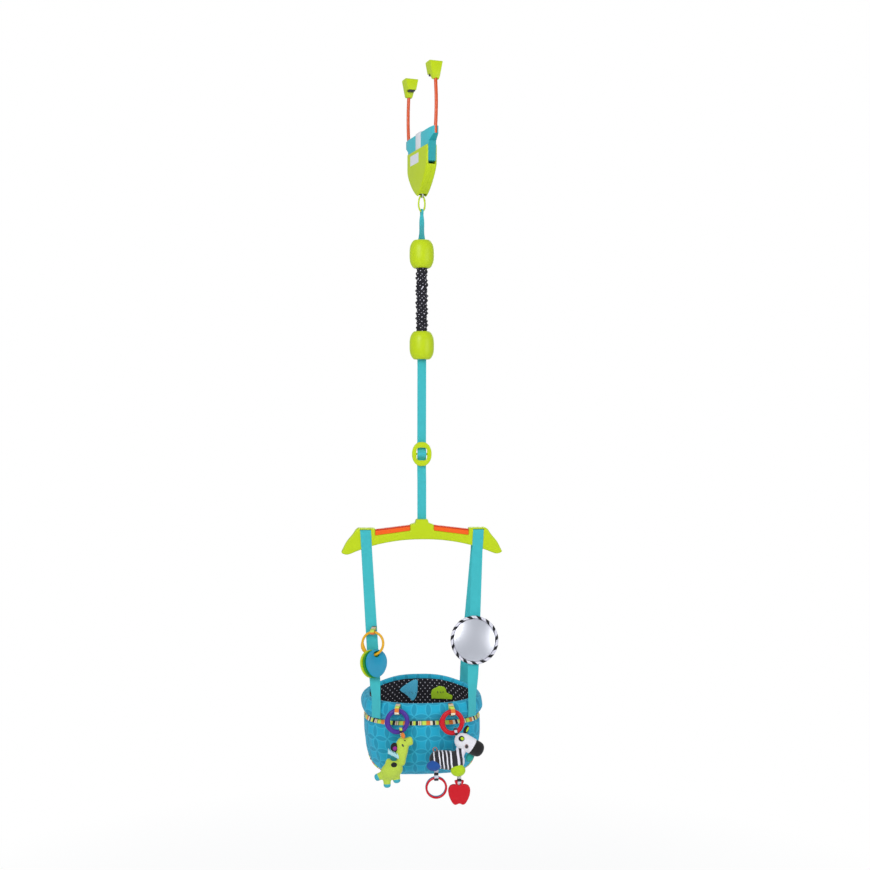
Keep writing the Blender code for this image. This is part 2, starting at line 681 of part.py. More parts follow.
def loop_path(top, top_radius, bottom, bottom_radius, neck, steps=7):
    """A closed strap's side view round an upper and a lower bar, with its two layers close together between."""
    top_y, top_z = top
    bottom_y, bottom_z = bottom
    reach_top = top_radius * 1.6
    reach_bottom = bottom_radius * 1.6
    path = arc(top, top_radius, -30, 210, steps)
    run = 8
    ends = [(top_y - neck, top_z - reach_top), (bottom_y - neck, bottom_z + reach_bottom)]
    left = [(ends[0][0] + (ends[1][0] - ends[0][0]) * i / run, ends[0][1] + (ends[1][1] - ends[0][1]) * i / run)
            for i in range(run + 1)]
    path += left
    path += arc(bottom, bottom_radius, 150, 390, steps)
    path += [(a + 2 * neck, b) for a, b in reversed(left)]
    return path


def fold_at_pin(z, pin_z):
    """A webbing's width and sideways shift near a spring pin, where it leaves room for the safety strap."""
    away = abs(z - pin_z) / CAP_PIN_DROP
    share = min(max((away - 0.30) / 0.45, 0), 1)
    width = PIN_FOLD_WIDTH + (WEB_WIDTH - PIN_FOLD_WIDTH) * share
    shift = -(SAFETY_STRAP_WIDTH + PIN_SIDE_ROOM) / 2 * (1 - share)
    return width, shift


def add_hanger_strap(body, teal):
    """A sewn loop from the load ring to the upper cap's pin, turning on its way down."""
    wire = LOAD_RING_WIRE_RADIUS + WEB_THICKNESS / 2 + 9 * GAP
    pin = PIN_RADIUS + WEB_THICKNESS / 2 + GAP
    neck = (WEB_THICKNESS + LAYER_GAP) / 2
    side = loop_path((0, RING_BOTTOM_Z), wire, (0, UPPER_PIN_Z), pin, neck)
    path, across, widths = [], [], []
    for t, z in side:
        share = min(max((RING_BOTTOM_Z - z) / HANGER_LENGTH, 0), 1)
        swing = CLAMP_TURN_DEG * (1 - share) + HANGER_TWIST_DEG * math.sin(math.pi * share) ** 2
        angle = math.radians(swing)
        spread = min(share * 2.2, 1)
        folded, shift = fold_at_pin(z, UPPER_PIN_Z)
        width = min(HANGER_RING_WIDTH + (WEB_WIDTH - HANGER_RING_WIDTH) * spread, folded)
        wide = Vector((math.cos(angle), math.sin(angle), 0))
        across.append(wide)
        path.append(Vector((-math.sin(angle) * t, math.cos(angle) * t, z)) + wide * shift)
        widths.append(width / 2)
    strap = band(path, across, widths, WEB_THICKNESS, True)
    add_piece("hanger_strap", *strap, teal, body)


# Bounce unit

def cap_section(sleeve_end, strap_end):
    """Half section of a barrel cap from its sleeve hole round the barrel to its strap hole and back inside."""
    height = strap_end - sleeve_end
    outer, inner = [], []
    for i in range(8):
        t = -1 + 2 * i / 7
        flat = abs(t) ** 3.2
        radius = CAP_RADIUS - (CAP_RADIUS - CAP_NECK_RADIUS) * flat
        outer.append((radius, sleeve_end + height * (1 + t) / 2))
    wall_share = CAP_WALL / abs(height) * 2
    for i in range(6):
        t = -1 + 2 * i / 5
        flat = abs(t) ** 3.2
        radius = CAP_RADIUS - (CAP_RADIUS - CAP_NECK_RADIUS) * flat - CAP_WALL
        inner.append((radius, sleeve_end + height * (1 + t * (1 - wall_share)) / 2))
    wall = math.copysign(CAP_WALL, height)
    section = [(SLEEVE_HOLE_RADIUS, sleeve_end)] + outer + [(CAP_STRAP_HOLE_RADIUS, strap_end)]
    section += [(CAP_STRAP_HOLE_RADIUS, strap_end - wall)] + inner[::-1]
    section += [(SLEEVE_HOLE_RADIUS, sleeve_end + wall)]
    return section


def add_cap(name, sleeve_end, strap_end, body, lime, steel):
    section = cap_section(sleeve_end, strap_end)
    for half, start, sign in (("front", 180, -1), ("rear", 0, 1)):
        shell = lathe(section, start, start + 180, 11, (0.0, sign * GAP / 2))
        add_piece(f"{name}_cap_{half}", *shell, lime, body)
    pin_z = strap_end + math.copysign(CAP_PIN_DROP, sleeve_end - strap_end)
    reach = CAP_RADIUS - CAP_WALL - GAP * 3
    pin = rod((-reach, 0, pin_z), (reach, 0, pin_z), PIN_RADIUS)
    add_piece(f"spring_pin_{name}", *pin, steel, body)


def add_bounce_spring(body, steel):
    """One unbroken coil. Its end turns lie flat on the two pins."""
    clear = PIN_RADIUS + SPRING_WIRE_RADIUS + GAP
    points = []
    per_turn = 10
    first, last = UPPER_PIN_Z - clear, LOWER_PIN_Z + clear
    inner_turns = SPRING_TURN_COUNT - 2
    total = SPRING_TURN_COUNT * per_turn
    for i in range(total + 1):
        turn = i / per_turn
        if turn <= 0.5:
            z = UPPER_PIN_Z + clear
        elif turn <= 1:
            z = UPPER_PIN_Z + clear - (turn - 0.5) * 4 * clear
        elif turn <= 1 + inner_turns:
            z = first + (last - first) * (turn - 1) / inner_turns
        elif turn <= 1.5 + inner_turns:
            z = last - (turn - 1 - inner_turns) * 4 * clear
        else:
            z = LOWER_PIN_Z - clear
        angle = math.tau * turn
        points.append(Vector((SPRING_RADIUS * math.cos(angle), SPRING_RADIUS * math.sin(angle), z)))
    coil = round_tube(points, [SPRING_WIRE_RADIUS] * len(points), 5, False, Vector((0, 0, 1)))
    add_piece("bounce_spring", *coil, steel, body)


def add_spring_sleeve(body, dotted):
    """A gathered cloth tube round the spring, tucked into both caps."""
    top, bottom = UPPER_CAP_BOTTOM + SLEEVE_TUCK, LOWER_CAP_TOP - SLEEVE_TUCK
    inner = SPRING_RADIUS + SPRING_WIRE_RADIUS + GAP
    sides, levels = 12, 24
    rings = []
    for i in range(levels + 1):
        t = i / levels
        fade = min(1, t * 8, (1 - t) * 8)
        ring = []
        for j in range(sides):
            angle = math.tau * j / sides
            fold = math.sin(t * 62 + 1.6 * math.sin(angle + t * 9)) + 0.5 * math.sin(t * 34 + 3 * angle)
            radius = SLEEVE_RADIUS + fade * SLEEVE_RUFFLE * fold / 1.5
            ring.append(Vector((radius * math.cos(angle), radius * math.sin(angle), top + (bottom - top) * t)))
        rings.append(ring)
    for z in (bottom, top):
        rings.append([Vector((inner * math.cos(math.tau * j / sides), inner * math.sin(math.tau * j / sides), z))
                      for j in range(sides)])
    add_piece("spring_sleeve", *skin(rings, "closed"), dotted, body)


def add_safety_strap(body, white):
    """A flat loop inside the spring that stops it stretching too far."""
    radius = PIN_RADIUS + SAFETY_STRAP_THICKNESS / 2 + GAP
    side = loop_path((0, UPPER_PIN_Z), radius, (0, LOWER_PIN_Z), radius, (SAFETY_STRAP_THICKNESS + LAYER_GAP) / 2)
    shift = (PIN_FOLD_WIDTH + PIN_SIDE_ROOM) / 2
    path = [Vector((shift, y, z)) for y, z in side]
    across = [Vector((1, 0, 0))] * len(path)
    strap = band(path, across, [SAFETY_STRAP_WIDTH / 2] * len(path), SAFETY_STRAP_THICKNESS, True)
    add_piece("safety_strap", *strap, white, body)


def add_height_strap(body, teal):
    """One webbing: sewn round the lower cap's pin, through the buckle, round the hub pin, back to the buckle."""
    pin = PIN_RADIUS + WEB_THICKNESS / 2 + GAP
    pitch = WEB_THICKNESS + LAYER_GAP
    neck = pitch / 2
    behind = BUCKLE_THICKNESS / 2 + WEB_THICKNESS / 2 + GAP
    wrap = BUCKLE_BAR_RADIUS + WEB_THICKNESS / 2 + GAP
    window = BUCKLE_WINDOW_HEIGHT / 2
    rim = BUCKLE_HEIGHT / 2
    side = [(neck, LOWER_PIN_Z - STRAP_TAIL), (neck, LOWER_PIN_Z - pin * 1.6)]
    side += arc((0, LOWER_PIN_Z), pin, -30, 210, 8)
    side += [(-neck, LOWER_PIN_Z - pin * 1.6), (-neck, LOWER_PIN_Z - STRAP_TAIL * 1.2),
             (behind * 0.8, BUCKLE_Z + rim * 1.5), (behind, BUCKLE_Z + rim * 1.1), (behind, BUCKLE_Z + window * 0.82),
             (0, BUCKLE_Z + window * 0.50), (-wrap - pitch * 0.9, BUCKLE_Z + wrap * 0.6),
             (-wrap - pitch, BUCKLE_Z), (-wrap - pitch * 0.9, BUCKLE_Z - wrap * 0.6),
             (0, BUCKLE_Z - window * 0.50), (behind, BUCKLE_Z - window * 0.82), (behind, BUCKLE_Z - rim * 1.1),
             (behind * 0.8, BUCKLE_Z - rim * 1.5), (-neck, BUCKLE_Z - rim * 2.2), (-neck, HUB_PIN_Z + pin * 1.6)]
    side += arc((0, HUB_PIN_Z), pin, 150, 390, 8)
    side += [(neck, HUB_PIN_Z + pin * 1.6), (neck, BUCKLE_Z - rim * 2.2),
             (behind * 0.8 + pitch, BUCKLE_Z - rim * 1.5), (behind + pitch, BUCKLE_Z - rim * 1.1),
             (behind + pitch, BUCKLE_Z - window * 0.85), (wrap * 1.15, BUCKLE_Z - wrap * 0.6)]
    side += arc((0, BUCKLE_Z), wrap, 20, 200, 6)
    path, widths = [], []
    for y, z in side:
        width, shift = fold_at_pin(z, LOWER_PIN_Z)
        path.append(Vector((shift, y, z)))
        widths.append(width / 2)
    across = [Vector((1, 0, 0))] * len(path)
    strap = band(path, across, widths, WEB_THICKNESS)
    add_piece("height_strap", *strap, teal, body)


def add_buckle(body, lime):
    """An oval frame with a window and one round cross bar."""
    steps = 24
    half = BUCKLE_THICKNESS / 2
    soft = half * 0.35
    window = (BUCKLE_WINDOW_WIDTH / 2, BUCKLE_WINDOW_HEIGHT / 2, 0.5)
    rim = (BUCKLE_WIDTH / 2, BUCKLE_HEIGHT / 2, 1.0)
    levels = [(window, 0.0, -half), (window, 0.0, half), (rim, soft, half), (rim, 0.0, half - soft),
              (rim, 0.0, -half + soft), (rim, soft, -half)]
    rings = []
    for (a, b, power), shrink, y in levels:
        ring = []
        for i in range(steps):
            angle = math.tau * i / steps
            c, s = math.cos(angle), math.sin(angle)
            x = (a - shrink) * math.copysign(abs(c) ** power, c)
            z = (b - shrink) * math.copysign(abs(s) ** power, s)
            ring.append(Vector((x, y, BUCKLE_Z + z)))
        rings.append(ring)
    buckle = add_piece("adjuster_buckle", *skin(rings, "closed"), lime, body)
    reach = (BUCKLE_WINDOW_WIDTH + BUCKLE_WIDTH) / 4
    bar = rod((-reach, 0, BUCKLE_Z), (reach, 0, BUCKLE_Z), BUCKLE_BAR_RADIUS, 12)
    join(buckle, add_piece("buckle_bar", *bar, None))


# Spreader bar

# Right half of the bar's front view, from the hub down to the ear and back under: shares of the half
# span, and of the height below the hub's top
BAR_TOP_SHARES = [(0.069, 0.0), (0.078, 0.045), (0.083, 0.11), (0.147, 0.155), (0.147, 0.325),
                  (0.582, 0.46), (0.582, 0.262), (0.60, 0.248), (0.79, 0.245), (0.822, 0.30),
                  (0.862, 0.44), (0.936, 0.65), (0.985, 0.87), (1.0, 0.945)]
BAR_UNDER_SHARES = [(0.965, 0.995), (0.91, 1.0), (0.80, 0.90), (0.70, 0.82), (0.61, 0.757),
                    (0.50, 0.695), (0.38, 0.645), (0.25, 0.605), (0.12, 0.585)]
INSERT_END_SHARES = (0.147, 0.582)
INSERT_TOP_SHARES = (0.172, 0.292)
INSERT_LOW_SHARES = (0.325, 0.46)


def bar_outline():
    """The bar's whole front view, counterclockwise."""
    def right(shares):
        return [(a * BAR_HALF_SPAN, HUB_TOP - b * BAR_HEIGHT) for a, b in shares]
    top, under = right(BAR_TOP_SHARES), right(BAR_UNDER_SHARES)
    half = under[::-1] + top[::-1]
    left = [(-a, b) for a, b in half[::-1]]
    return half + left


def add_bar(hub, body, lime, orange, steel):
    outline = bar_outline()
    inner = inset(outline, BAR_WALL)
    half_depth = BAR_DEPTH / 2
    hub_slot = box((-HUB_SLOT_HALF_WIDTH, -HUB_SLOT_DEPTH / 2, HUB_TOP - BAR_WALL * 3),
                   (HUB_SLOT_HALF_WIDTH, HUB_SLOT_DEPTH / 2, HUB_TOP + OVERRUN))
    cutters = [add_piece("hub_slot", *hub_slot, None)]
    half_slot = SIDE_STRAP_WIDTH / 2 + GAP * 2
    for sign, side_name in ((-1, "left"), (1, "right")):
        centre = sign * SIDE_STRAP_OFFSET
        slot = box((centre - half_slot, -BAR_DEPTH, STRAP_SLOT_Z - STRAP_SLOT_HEIGHT / 2),
                   (centre + half_slot, BAR_DEPTH, STRAP_SLOT_Z + STRAP_SLOT_HEIGHT / 2))
        cutters.append(add_piece("shoulder_slot_" + side_name, *slot, None))
    for sign, name in ((-1, "bar_front_shell"), (1, "bar_rear_shell")):
        def place(a, b, d, sign=sign):
            return Vector((a, sign * d, b))
        shell = dish(outline, inner, half_depth, BAR_WALL, BAR_EDGE, place)
        piece = add_piece(name, *shell, lime, body)
        for cutter in cutters:
            cut(piece, cutter)
    pin = rod((-HUB_PIN_HALF_LENGTH, 0, HUB_PIN_Z), (HUB_PIN_HALF_LENGTH, 0, HUB_PIN_Z), PIN_RADIUS)
    add_piece("hub_pin", *pin, steel, hub)
    for sign, name in ((-1, "bar_insert_left"), (1, "bar_insert_right")):
        rings = []
        steps = 6
        for i in range(steps + 1):
            t = i / steps
            x_share = INSERT_END_SHARES[0] + (INSERT_END_SHARES[1] - INSERT_END_SHARES[0]) * t
            clear = GAP if i == 0 else (-GAP if i == steps else 0.0)
            x = sign * (x_share * BAR_HALF_SPAN + clear)
            low = HUB_TOP - BAR_HEIGHT * (INSERT_LOW_SHARES[0] + (INSERT_LOW_SHARES[1] - INSERT_LOW_SHARES[0]) * t)
            top = HUB_TOP - BAR_HEIGHT * (INSERT_TOP_SHARES[0] + (INSERT_TOP_SHARES[1] - INSERT_TOP_SHARES[0]) * t)
            low += GAP
            middle = low + (top - low) * 0.5
            half = INSERT_DEPTH / 2
            section = [(-half, low), (-half, middle), (-half + INSERT_EDGE, top), (half - INSERT_EDGE, top),
                       (half, middle), (half, low)]
            rings.append([Vector((x, y, z)) for y, z in section])
        add_piece(name, *skin(rings), orange, body)


# Seat

SEAT_STEPS = 36  # points round the seat's plan


def seat_point(angle, half_width, half_depth, z):
    """A point on the seat's rounded plan. Angle 0 is at +X, and -90 degrees is at the front."""
    c, s = math.cos(angle), math.sin(angle)
    x = half_width * math.copysign(abs(c) ** 0.72, c)
    y = half_depth * math.copysign(abs(s) ** 0.72, s)
    return Vector((x, y + SEAT_BACK_SHIFT, z))


def seat_plan_depth(x, half_width, half_depth):
    """How far the plan stands out from its middle at a place across the seat."""
    share = (abs(x) / half_width) ** (1 / 0.72)
    return half_depth * math.sqrt(max(1 - share * share, 0)) ** 0.72


def rim_top(angle):
    """The rim's top: level at the front and sides, raised to a low peak at the back."""
    back = max(math.sin(angle), 0) ** 4
    return RIM_TOP + SEAT_BACK_RISE * back


def add_seat_rim(body, teal):
    """A padded collar that rolls outwards, a little flatter at the front."""
    rings = []
    for i in range(SEAT_STEPS):
        angle = math.tau * i / SEAT_STEPS
        top = rim_top(angle)
        height = top - RIM_BOTTOM
        wave = 1 + 0.10 * math.sin(9 * angle) * math.sin(angle / 2)
        section = [(0.0, RIM_BOTTOM), (RIM_BULGE * 0.80 * wave, RIM_BOTTOM + height * 0.22),
                   (RIM_BULGE * wave, RIM_BOTTOM + height * 0.50), (RIM_BULGE * 0.75 * wave, RIM_BOTTOM + height * 0.80),
                   (RIM_BULGE * 0.20, top - height * 0.03), (-RIM_THICKNESS * 0.45, top),
                   (-RIM_THICKNESS, top - height * 0.12), (-RIM_THICKNESS, RIM_BOTTOM + height * 0.45),
                   (-SHELL_THICKNESS, RIM_BOTTOM)]
        ring = []
        for out, z in section:
            ring.append(seat_point(angle, SEAT_HALF_WIDTH + out, SEAT_HALF_DEPTH + out, z))
        rings.append(ring)
    return add_piece("seat_rim", *skin(rings, "closed"), teal, body)


# The shell's profile from its top down: share of its height, and inward draw as a share of its height
SHELL_PROFILE_SHARES = [(0.0, 0.0), (0.10, -0.035), (0.30, -0.03), (0.52, 0.0), (0.70, 0.045),
                        (0.85, 0.12), (0.95, 0.26), (1.0, 0.46)]


def shell_profile():
    return [(SHELL_HEIGHT * draw, SHELL_TOP - SHELL_HEIGHT * down) for down, draw in SHELL_PROFILE_SHARES]


def inside(profile, distance):
    """A profile of (inward draw, height) moved into the bowl by a distance."""
    moved = []
    last = len(profile) - 1
    for i, here in enumerate(profile):
        before, after = Vector(profile[max(i - 1, 0)]), Vector(profile[min(i + 1, last)])
        along = (after - before).normalized()
        normal = Vector((-along.y, along.x))
        if i == 0:
            normal = Vector((1, 0))
        if i == last:
            normal = Vector((0, 1))
        moved.append(tuple(Vector(here) + normal * distance))
    return moved


def bowl(outer, inner):
    """An open cloth bowl with the seat's plan, between two profiles of (inward draw, height).

    What stands above the rim's bottom rises with the rim.
    """
    rings = []
    for draw, z in outer[::-1] + inner:
        ring = []
        for i in range(SEAT_STEPS):
            angle = math.tau * i / SEAT_STEPS
            rise = rim_top(angle) - RIM_TOP if z > RIM_BOTTOM else 0.0
            ring.append(seat_point(angle, SEAT_HALF_WIDTH - draw, SEAT_HALF_DEPTH - draw, z + rise))
        rings.append(ring)
    return skin(rings)


def leg_cutter(name, sign, radius):
    direction = Vector((sign * 0.80, 0, -0.60))
    centre = Vector((sign * LEG_HOLE_OFFSET, SEAT_BACK_SHIFT, LEG_HOLE_Z))
    reach = LEG_HOLE_RADIUS * 1.6
    return add_piece(name, *rod(centre - direction * reach * 0.55, centre + direction * reach, radius, 24), None)


def add_seat(body, teal, dotted, striped):
    profile = shell_profile()
    shell = add_piece("seat_shell", *bowl(profile, inside(profile, SHELL_THICKNESS)), teal, body)
    rim_inside = RIM_THICKNESS + GAP
    collar = [(rim_inside, RIM_TOP - RIM_HEIGHT * 0.15), (rim_inside, SHELL_TOP - SHELL_HEIGHT * 0.02)]
    lining_outer = collar + inside(profile, SHELL_THICKNESS + GAP)[2:]
    lining_inner = [(rim_inside + LINING_THICKNESS, collar[0][1]), (rim_inside + LINING_THICKNESS, collar[1][1])]
    lining_inner += inside(profile, SHELL_THICKNESS + GAP + LINING_THICKNESS)[2:]
    lining = add_piece("seat_lining", *bowl(lining_outer, lining_inner), dotted, body)
    for sign, side_name in ((-1, "left"), (1, "right")):
        cut(shell, leg_cutter("leg_hole_" + side_name, sign, LEG_HOLE_RADIUS))
        cut(lining, leg_cutter("lining_leg_hole_" + side_name, sign, LEG_HOLE_RADIUS + GAP * 2))
    rings = []
    for i in range(SEAT_STEPS):
        angle = math.tau * i / SEAT_STEPS
        top = SHELL_TOP - GAP
        low = top - TRIM_HEIGHT
        slope = SHELL_PROFILE_SHARES[1][1] / SHELL_PROFILE_SHARES[1][0]
        inner_top, inner_low = GAP * 1.1 - GAP * slope, GAP * 1.1 - (GAP + TRIM_HEIGHT) * slope
        section = [(inner_top, top), (inner_top + TRIM_THICKNESS, top), (inner_low + TRIM_THICKNESS, low),
                   (inner_low, low)]
        rings.append([seat_point(angle, SEAT_HALF_WIDTH + a, SEAT_HALF_DEPTH + a, z) for a, z in section])
    add_piece("trim_band", *skin(rings, "closed"), striped, body)


# Two sewn leaves inside the back of the seat: shares of the leaf's height
LEAF_BLUE_SHARES = [(-0.42, 0.18), (-0.10, 0.55), (0.42, 0.98), (0.48, 0.72), (0.44, 0.40), (0.50, 0.12),
                    (0.34, -0.22), (0.16, -0.48), (0.0, -0.18), (-0.22, -0.02)]
LEAF_GREEN_SHARES = [(-0.48, -0.36), (-0.52, -0.05), (-0.46, 0.20), (-0.30, 0.30), (-0.12, 0.42), (0.12, 0.38),
                     (0.22, 0.22), (0.22, 0.04), (0.52, -0.12), (0.50, -0.36)]


def add_leaves(body, blue, green):
    """Each leaf lies on the lining at the back, a little in front of it."""
    for name, shares, x, material in (("leaf_blue", LEAF_BLUE_SHARES, -SEAT_HALF_WIDTH * 0.20, blue),
                                      ("leaf_green", LEAF_GREEN_SHARES, SEAT_HALF_WIDTH * 0.42, green)):
        inward = RIM_THICKNESS + LINING_THICKNESS + GAP * 2
        centre_z = RIM_TOP - LEAF_DROP
        rings = []
        for depth in (0.0, LEAF_THICKNESS):
            ring = []
            for a, b in shares[::-1]:
                px, pz = x + a * LEAF_HEIGHT, centre_z + b * LEAF_HEIGHT * 0.8
                wall = seat_plan_depth(px, SEAT_HALF_WIDTH - inward, SEAT_HALF_DEPTH - inward)
                ring.append(Vector((px, wall + SEAT_BACK_SHIFT - depth - GAP * 1.5, pz)))
            rings.append(ring)
        add_piece(name, *skin(rings), material, body)


def wall_angle(x):
    """How far the seat's wall is turned back at a place across the front."""
    step = SIDE_STRAP_WIDTH / 2
    out = RIM_BULGE
    near = seat_plan_depth(x - step, SEAT_HALF_WIDTH + out, SEAT_HALF_DEPTH + out)
    far = seat_plan_depth(x + step, SEAT_HALF_WIDTH + out, SEAT_HALF_DEPTH + out)
    return math.atan2(near - far, 2 * step)


def strap_offset(z):
    """How far out a side strap lies at a height."""
    share = min(max((SHOULDER_TOP - z) / (SHOULDER_TOP - RIM_TOP), 0), 1)
    return SIDE_STRAP_OFFSET + (SIDE_STRAP_SEAT_OFFSET - SIDE_STRAP_OFFSET) * share


def strap_turn(z):
    """A side strap is square to the bar, and turns near the rim to lie on the seat's wall."""
    share = (SHOULDER_TOP - z) / (SHOULDER_TOP - RIM_TOP)
    t = min(max((share - 0.80) / 0.20, 0), 1)
    return wall_angle(SIDE_STRAP_SEAT_OFFSET) * t * t * (3 - 2 * t)


def strap_side_view(draw):
    """Half of a side strap's side view, from its shoulder slot to its sewn end, which is drawn in to the rim."""
    face = BAR_DEPTH / 2 + WEB_THICKNESS / 2 + GAP
    bar_low = HUB_TOP - BAR_HEIGHT * 0.90 - WEB_THICKNESS * 2
    lift = (WEB_THICKNESS / 2 + GAP * 2) / math.cos(wall_angle(SIDE_STRAP_SEAT_OFFSET))
    outs = []
    for bulge in (RIM_BULGE * 1.06, RIM_BULGE * 1.06, RIM_BULGE * 0.91):
        outs.append(seat_plan_depth(SIDE_STRAP_SEAT_OFFSET, SEAT_HALF_WIDTH + bulge, SEAT_HALF_DEPTH + bulge)
                    + lift - draw)
    levels = [RIM_TOP + RIM_HEIGHT * 0.05, RIM_BOTTOM + RIM_HEIGHT * 0.50, RIM_BOTTOM + RIM_HEIGHT * 0.10]
    side = [(face, STRAP_SLOT_Z - WEB_THICKNESS * 1.5), (face, bar_low)]
    run = 9
    for i in range(1, run):
        side.append((face + (outs[0] - face) * i / run, bar_low + (levels[0] - bar_low) * i / run))
    return side + list(zip(outs, levels))


def front_strap_depth(z):
    """Where the front layer of a side strap lies at a height between the bar and the rim."""
    side = strap_side_view(STRAP_FRONT_DRAW)
    for (ya, za), (yb, zb) in zip(side, side[1:]):
        if zb <= z <= za:
            return seat_shift_at(z) - ya - (yb - ya) * (za - z) / (za - zb)
    return seat_shift_at(z) - side[-1][0]


def seat_shift_at(z):
    """The seat hangs a little behind the bar, and its straps lean with it."""
    bar_low = HUB_TOP - BAR_HEIGHT
    return SEAT_BACK_SHIFT * min(max((bar_low - z) / (bar_low - RIM_TOP), 0), 1)


def add_side_straps(body, teal):
    """Each strap runs from the back of the seat over its shoulder to the front."""
    rear, front = strap_side_view(STRAP_REAR_DRAW), strap_side_view(STRAP_FRONT_DRAW)
    crest = (BAR_DEPTH / 2 + WEB_THICKNESS * 0.1, STRAP_SLOT_Z)
    for sign, name in ((-1, "side_strap_left"), (1, "side_strap_right")):
        path, across = [], []
        for layer, rows in ((1, rear[::-1] + [crest]), (-1, [crest] + front)):
            for out, z in rows:
                path.append(Vector((sign * strap_offset(z), seat_shift_at(z) + layer * out, z)))
                angle = -sign * layer * strap_turn(z)
                across.append(Vector((math.cos(angle), math.sin(angle), 0)))
        strap = band(path, across, [SIDE_STRAP_WIDTH / 2] * len(path), WEB_THICKNESS)
        add_piece(name, *strap, teal, body)


def strap_frame(sign, z):
    """A frame on a side strap's front layer: its X across the strap, its -Z down along it."""
    step = SIDE_STRAP_WIDTH
    fall = front_strap_depth(z - step) - front_strap_depth(z + step)
    lean = math.atan2(fall, 2 * step)
    place = Vector((sign * strap_offset(z), front_strap_depth(z), z))
    return Matrix.Translation(place) @ Matrix.Rotation(lean, 4, "X")


# Mirror

def add_mirror(frame, body, striped, silver, teal):
    """A round fabric cover with a padded rim, a mirror set in it, and a loop behind round the strap."""
    back_y = -(WEB_THICKNESS / 2 + TAB_THICKNESS + GAP * 4)
    steps = 28
    ring_middle = MIRROR_RADIUS - MIRROR_RIM_RADIUS
    section = []
    for angle_deg in (90, 45, 0, -45, -90, -135, -180, -210):
        angle = math.radians(angle_deg)
        section.append((ring_middle + MIRROR_RIM_RADIUS * math.cos(angle),
                        back_y - MIRROR_RIM_RADIUS + MIRROR_RIM_RADIUS * math.sin(angle)))
    rings = [[Vector((r * math.cos(math.tau * j / steps), y, r * math.sin(math.tau * j / steps)))
              for j in range(steps)] for r, y in section]
    add_piece("mirror_cover", *skin(rings), striped, body, frame)
    panel_y = section[-1][1] - GAP
    face_radius = ring_middle - MIRROR_RIM_RADIUS - GAP * 2
    rings = []
    for shrink, depth in ((0.0, 0.0), (0.0, MIRROR_FACE_THICKNESS * 0.6), (MIRROR_FACE_THICKNESS, MIRROR_FACE_THICKNESS)):
        radius = face_radius - shrink
        rings.append([Vector((radius * math.cos(math.tau * j / steps), panel_y - depth,
                              radius * math.sin(math.tau * j / steps))) for j in range(steps)])
    add_piece("mirror_face", *skin(rings), silver, body, frame)
    inner = (SIDE_STRAP_WIDTH / 2 + MIRROR_LOOP_SLACK, WEB_THICKNESS / 2 + GAP * 2)
    outer = (inner[0] + TAB_THICKNESS, inner[1] + TAB_THICKNESS)
    rings = []
    for (a, b), z in ((inner, -1), (inner, 1), (outer, 1), (outer, -1)):
        level = z * MIRROR_LOOP_HEIGHT / 2
        rings.append([Vector((-a, -b, level)), Vector((a, -b, level)), Vector((a, b, level)), Vector((-a, b, level))])
    add_piece("mirror_loop", *skin(rings, "closed"), teal, body, frame)


# Link with its plates

def open_ring(radius, wire, clasp, turn_deg, place, clasp_deg, tall=1.0, steps=22, sides=7):
    """A link: a closed ring whose wire swells at its clasp. Angle 0 is at its right, 90 at its top."""
    turn = Matrix.Rotation(math.radians(turn_deg), 3, "Z")
    path, radii = [], []
    for i in range(steps):
        angle = math.tau * i / steps
        away = abs((math.degrees(angle) - clasp_deg + 180) % 360 - 180)
        swell_share = max(0.0, 1 - away / 32)
        radii.append(wire + (clasp - wire) * swell_share)
        path.append(place + turn @ Vector((radius * math.cos(angle), 0, radius * tall * math.sin(angle))))
    return round_tube(path, radii, sides, True, turn @ Vector((0, 1, 0)))


def ribbon_loop(sewn, wire, wire_radius, width, thickness, turn_deg=0.0):
    """A ribbon loop: closed at its sewn end and open round a wire at its other end."""
    turn = Matrix.Rotation(math.radians(turn_deg), 3, "Z")
    back = (sewn.y - wire.y) / math.cos(math.radians(turn_deg))
    toward = math.degrees(math.atan2(sewn.z - wire.z, back))
    closed = thickness / 2 + LAYER_GAP
    side = arc((back, sewn.z - wire.z), closed, toward - 90, toward + 90, 4)
    side += arc((0, 0), wire_radius, toward + 90, toward + 270, 8)
    length = math.hypot(back, sewn.z - wire.z)
    path = []
    for t, z in side:
        share = min(max((t * back + z * (sewn.z - wire.z)) / (length * length), 0), 1)
        path.append(wire + turn @ Vector(((sewn.x - wire.x) * share, t, z)))
    across = [turn @ Vector((1, 0, 0))] * len(path)
    return band(path, across, [width / 2] * len(path), thickness, True)


LINK_CENTRE = Vector((0, -LINK_STANDOFF, 0))


def link_frame():
    """The link lies against the sloping front of the left strap."""
    return strap_frame(-1, SHOULDER_TOP - LINK_DROP - LINK_RADIUS)


def add_link(frame, strap_body, body, striped, yellow):
    wire = LINK_CENTRE + Vector((0, 0, LINK_RADIUS))
    turned = math.sin(math.radians(abs(LINK_TURN_DEG))) * TAB_WIDTH / 2
    sewn = Vector((0, -(WEB_THICKNESS / 2 + TAB_THICKNESS + LAYER_GAP + GAP * 2 + turned), wire.z + TAB_WIDTH * 1.2))
    clear = LINK_WIRE_RADIUS + TAB_THICKNESS / 2 + GAP * 6
    tab = ribbon_loop(sewn, wire, clear, TAB_WIDTH, TAB_THICKNESS, LINK_TURN_DEG)
    add_piece("link_tab", *tab, striped, strap_body, frame)
    ring = open_ring(LINK_RADIUS, LINK_WIRE_RADIUS, LINK_CLASP_RADIUS, LINK_TURN_DEG, LINK_CENTRE, 205)
    add_piece("yellow_link", *ring, yellow, body, frame)


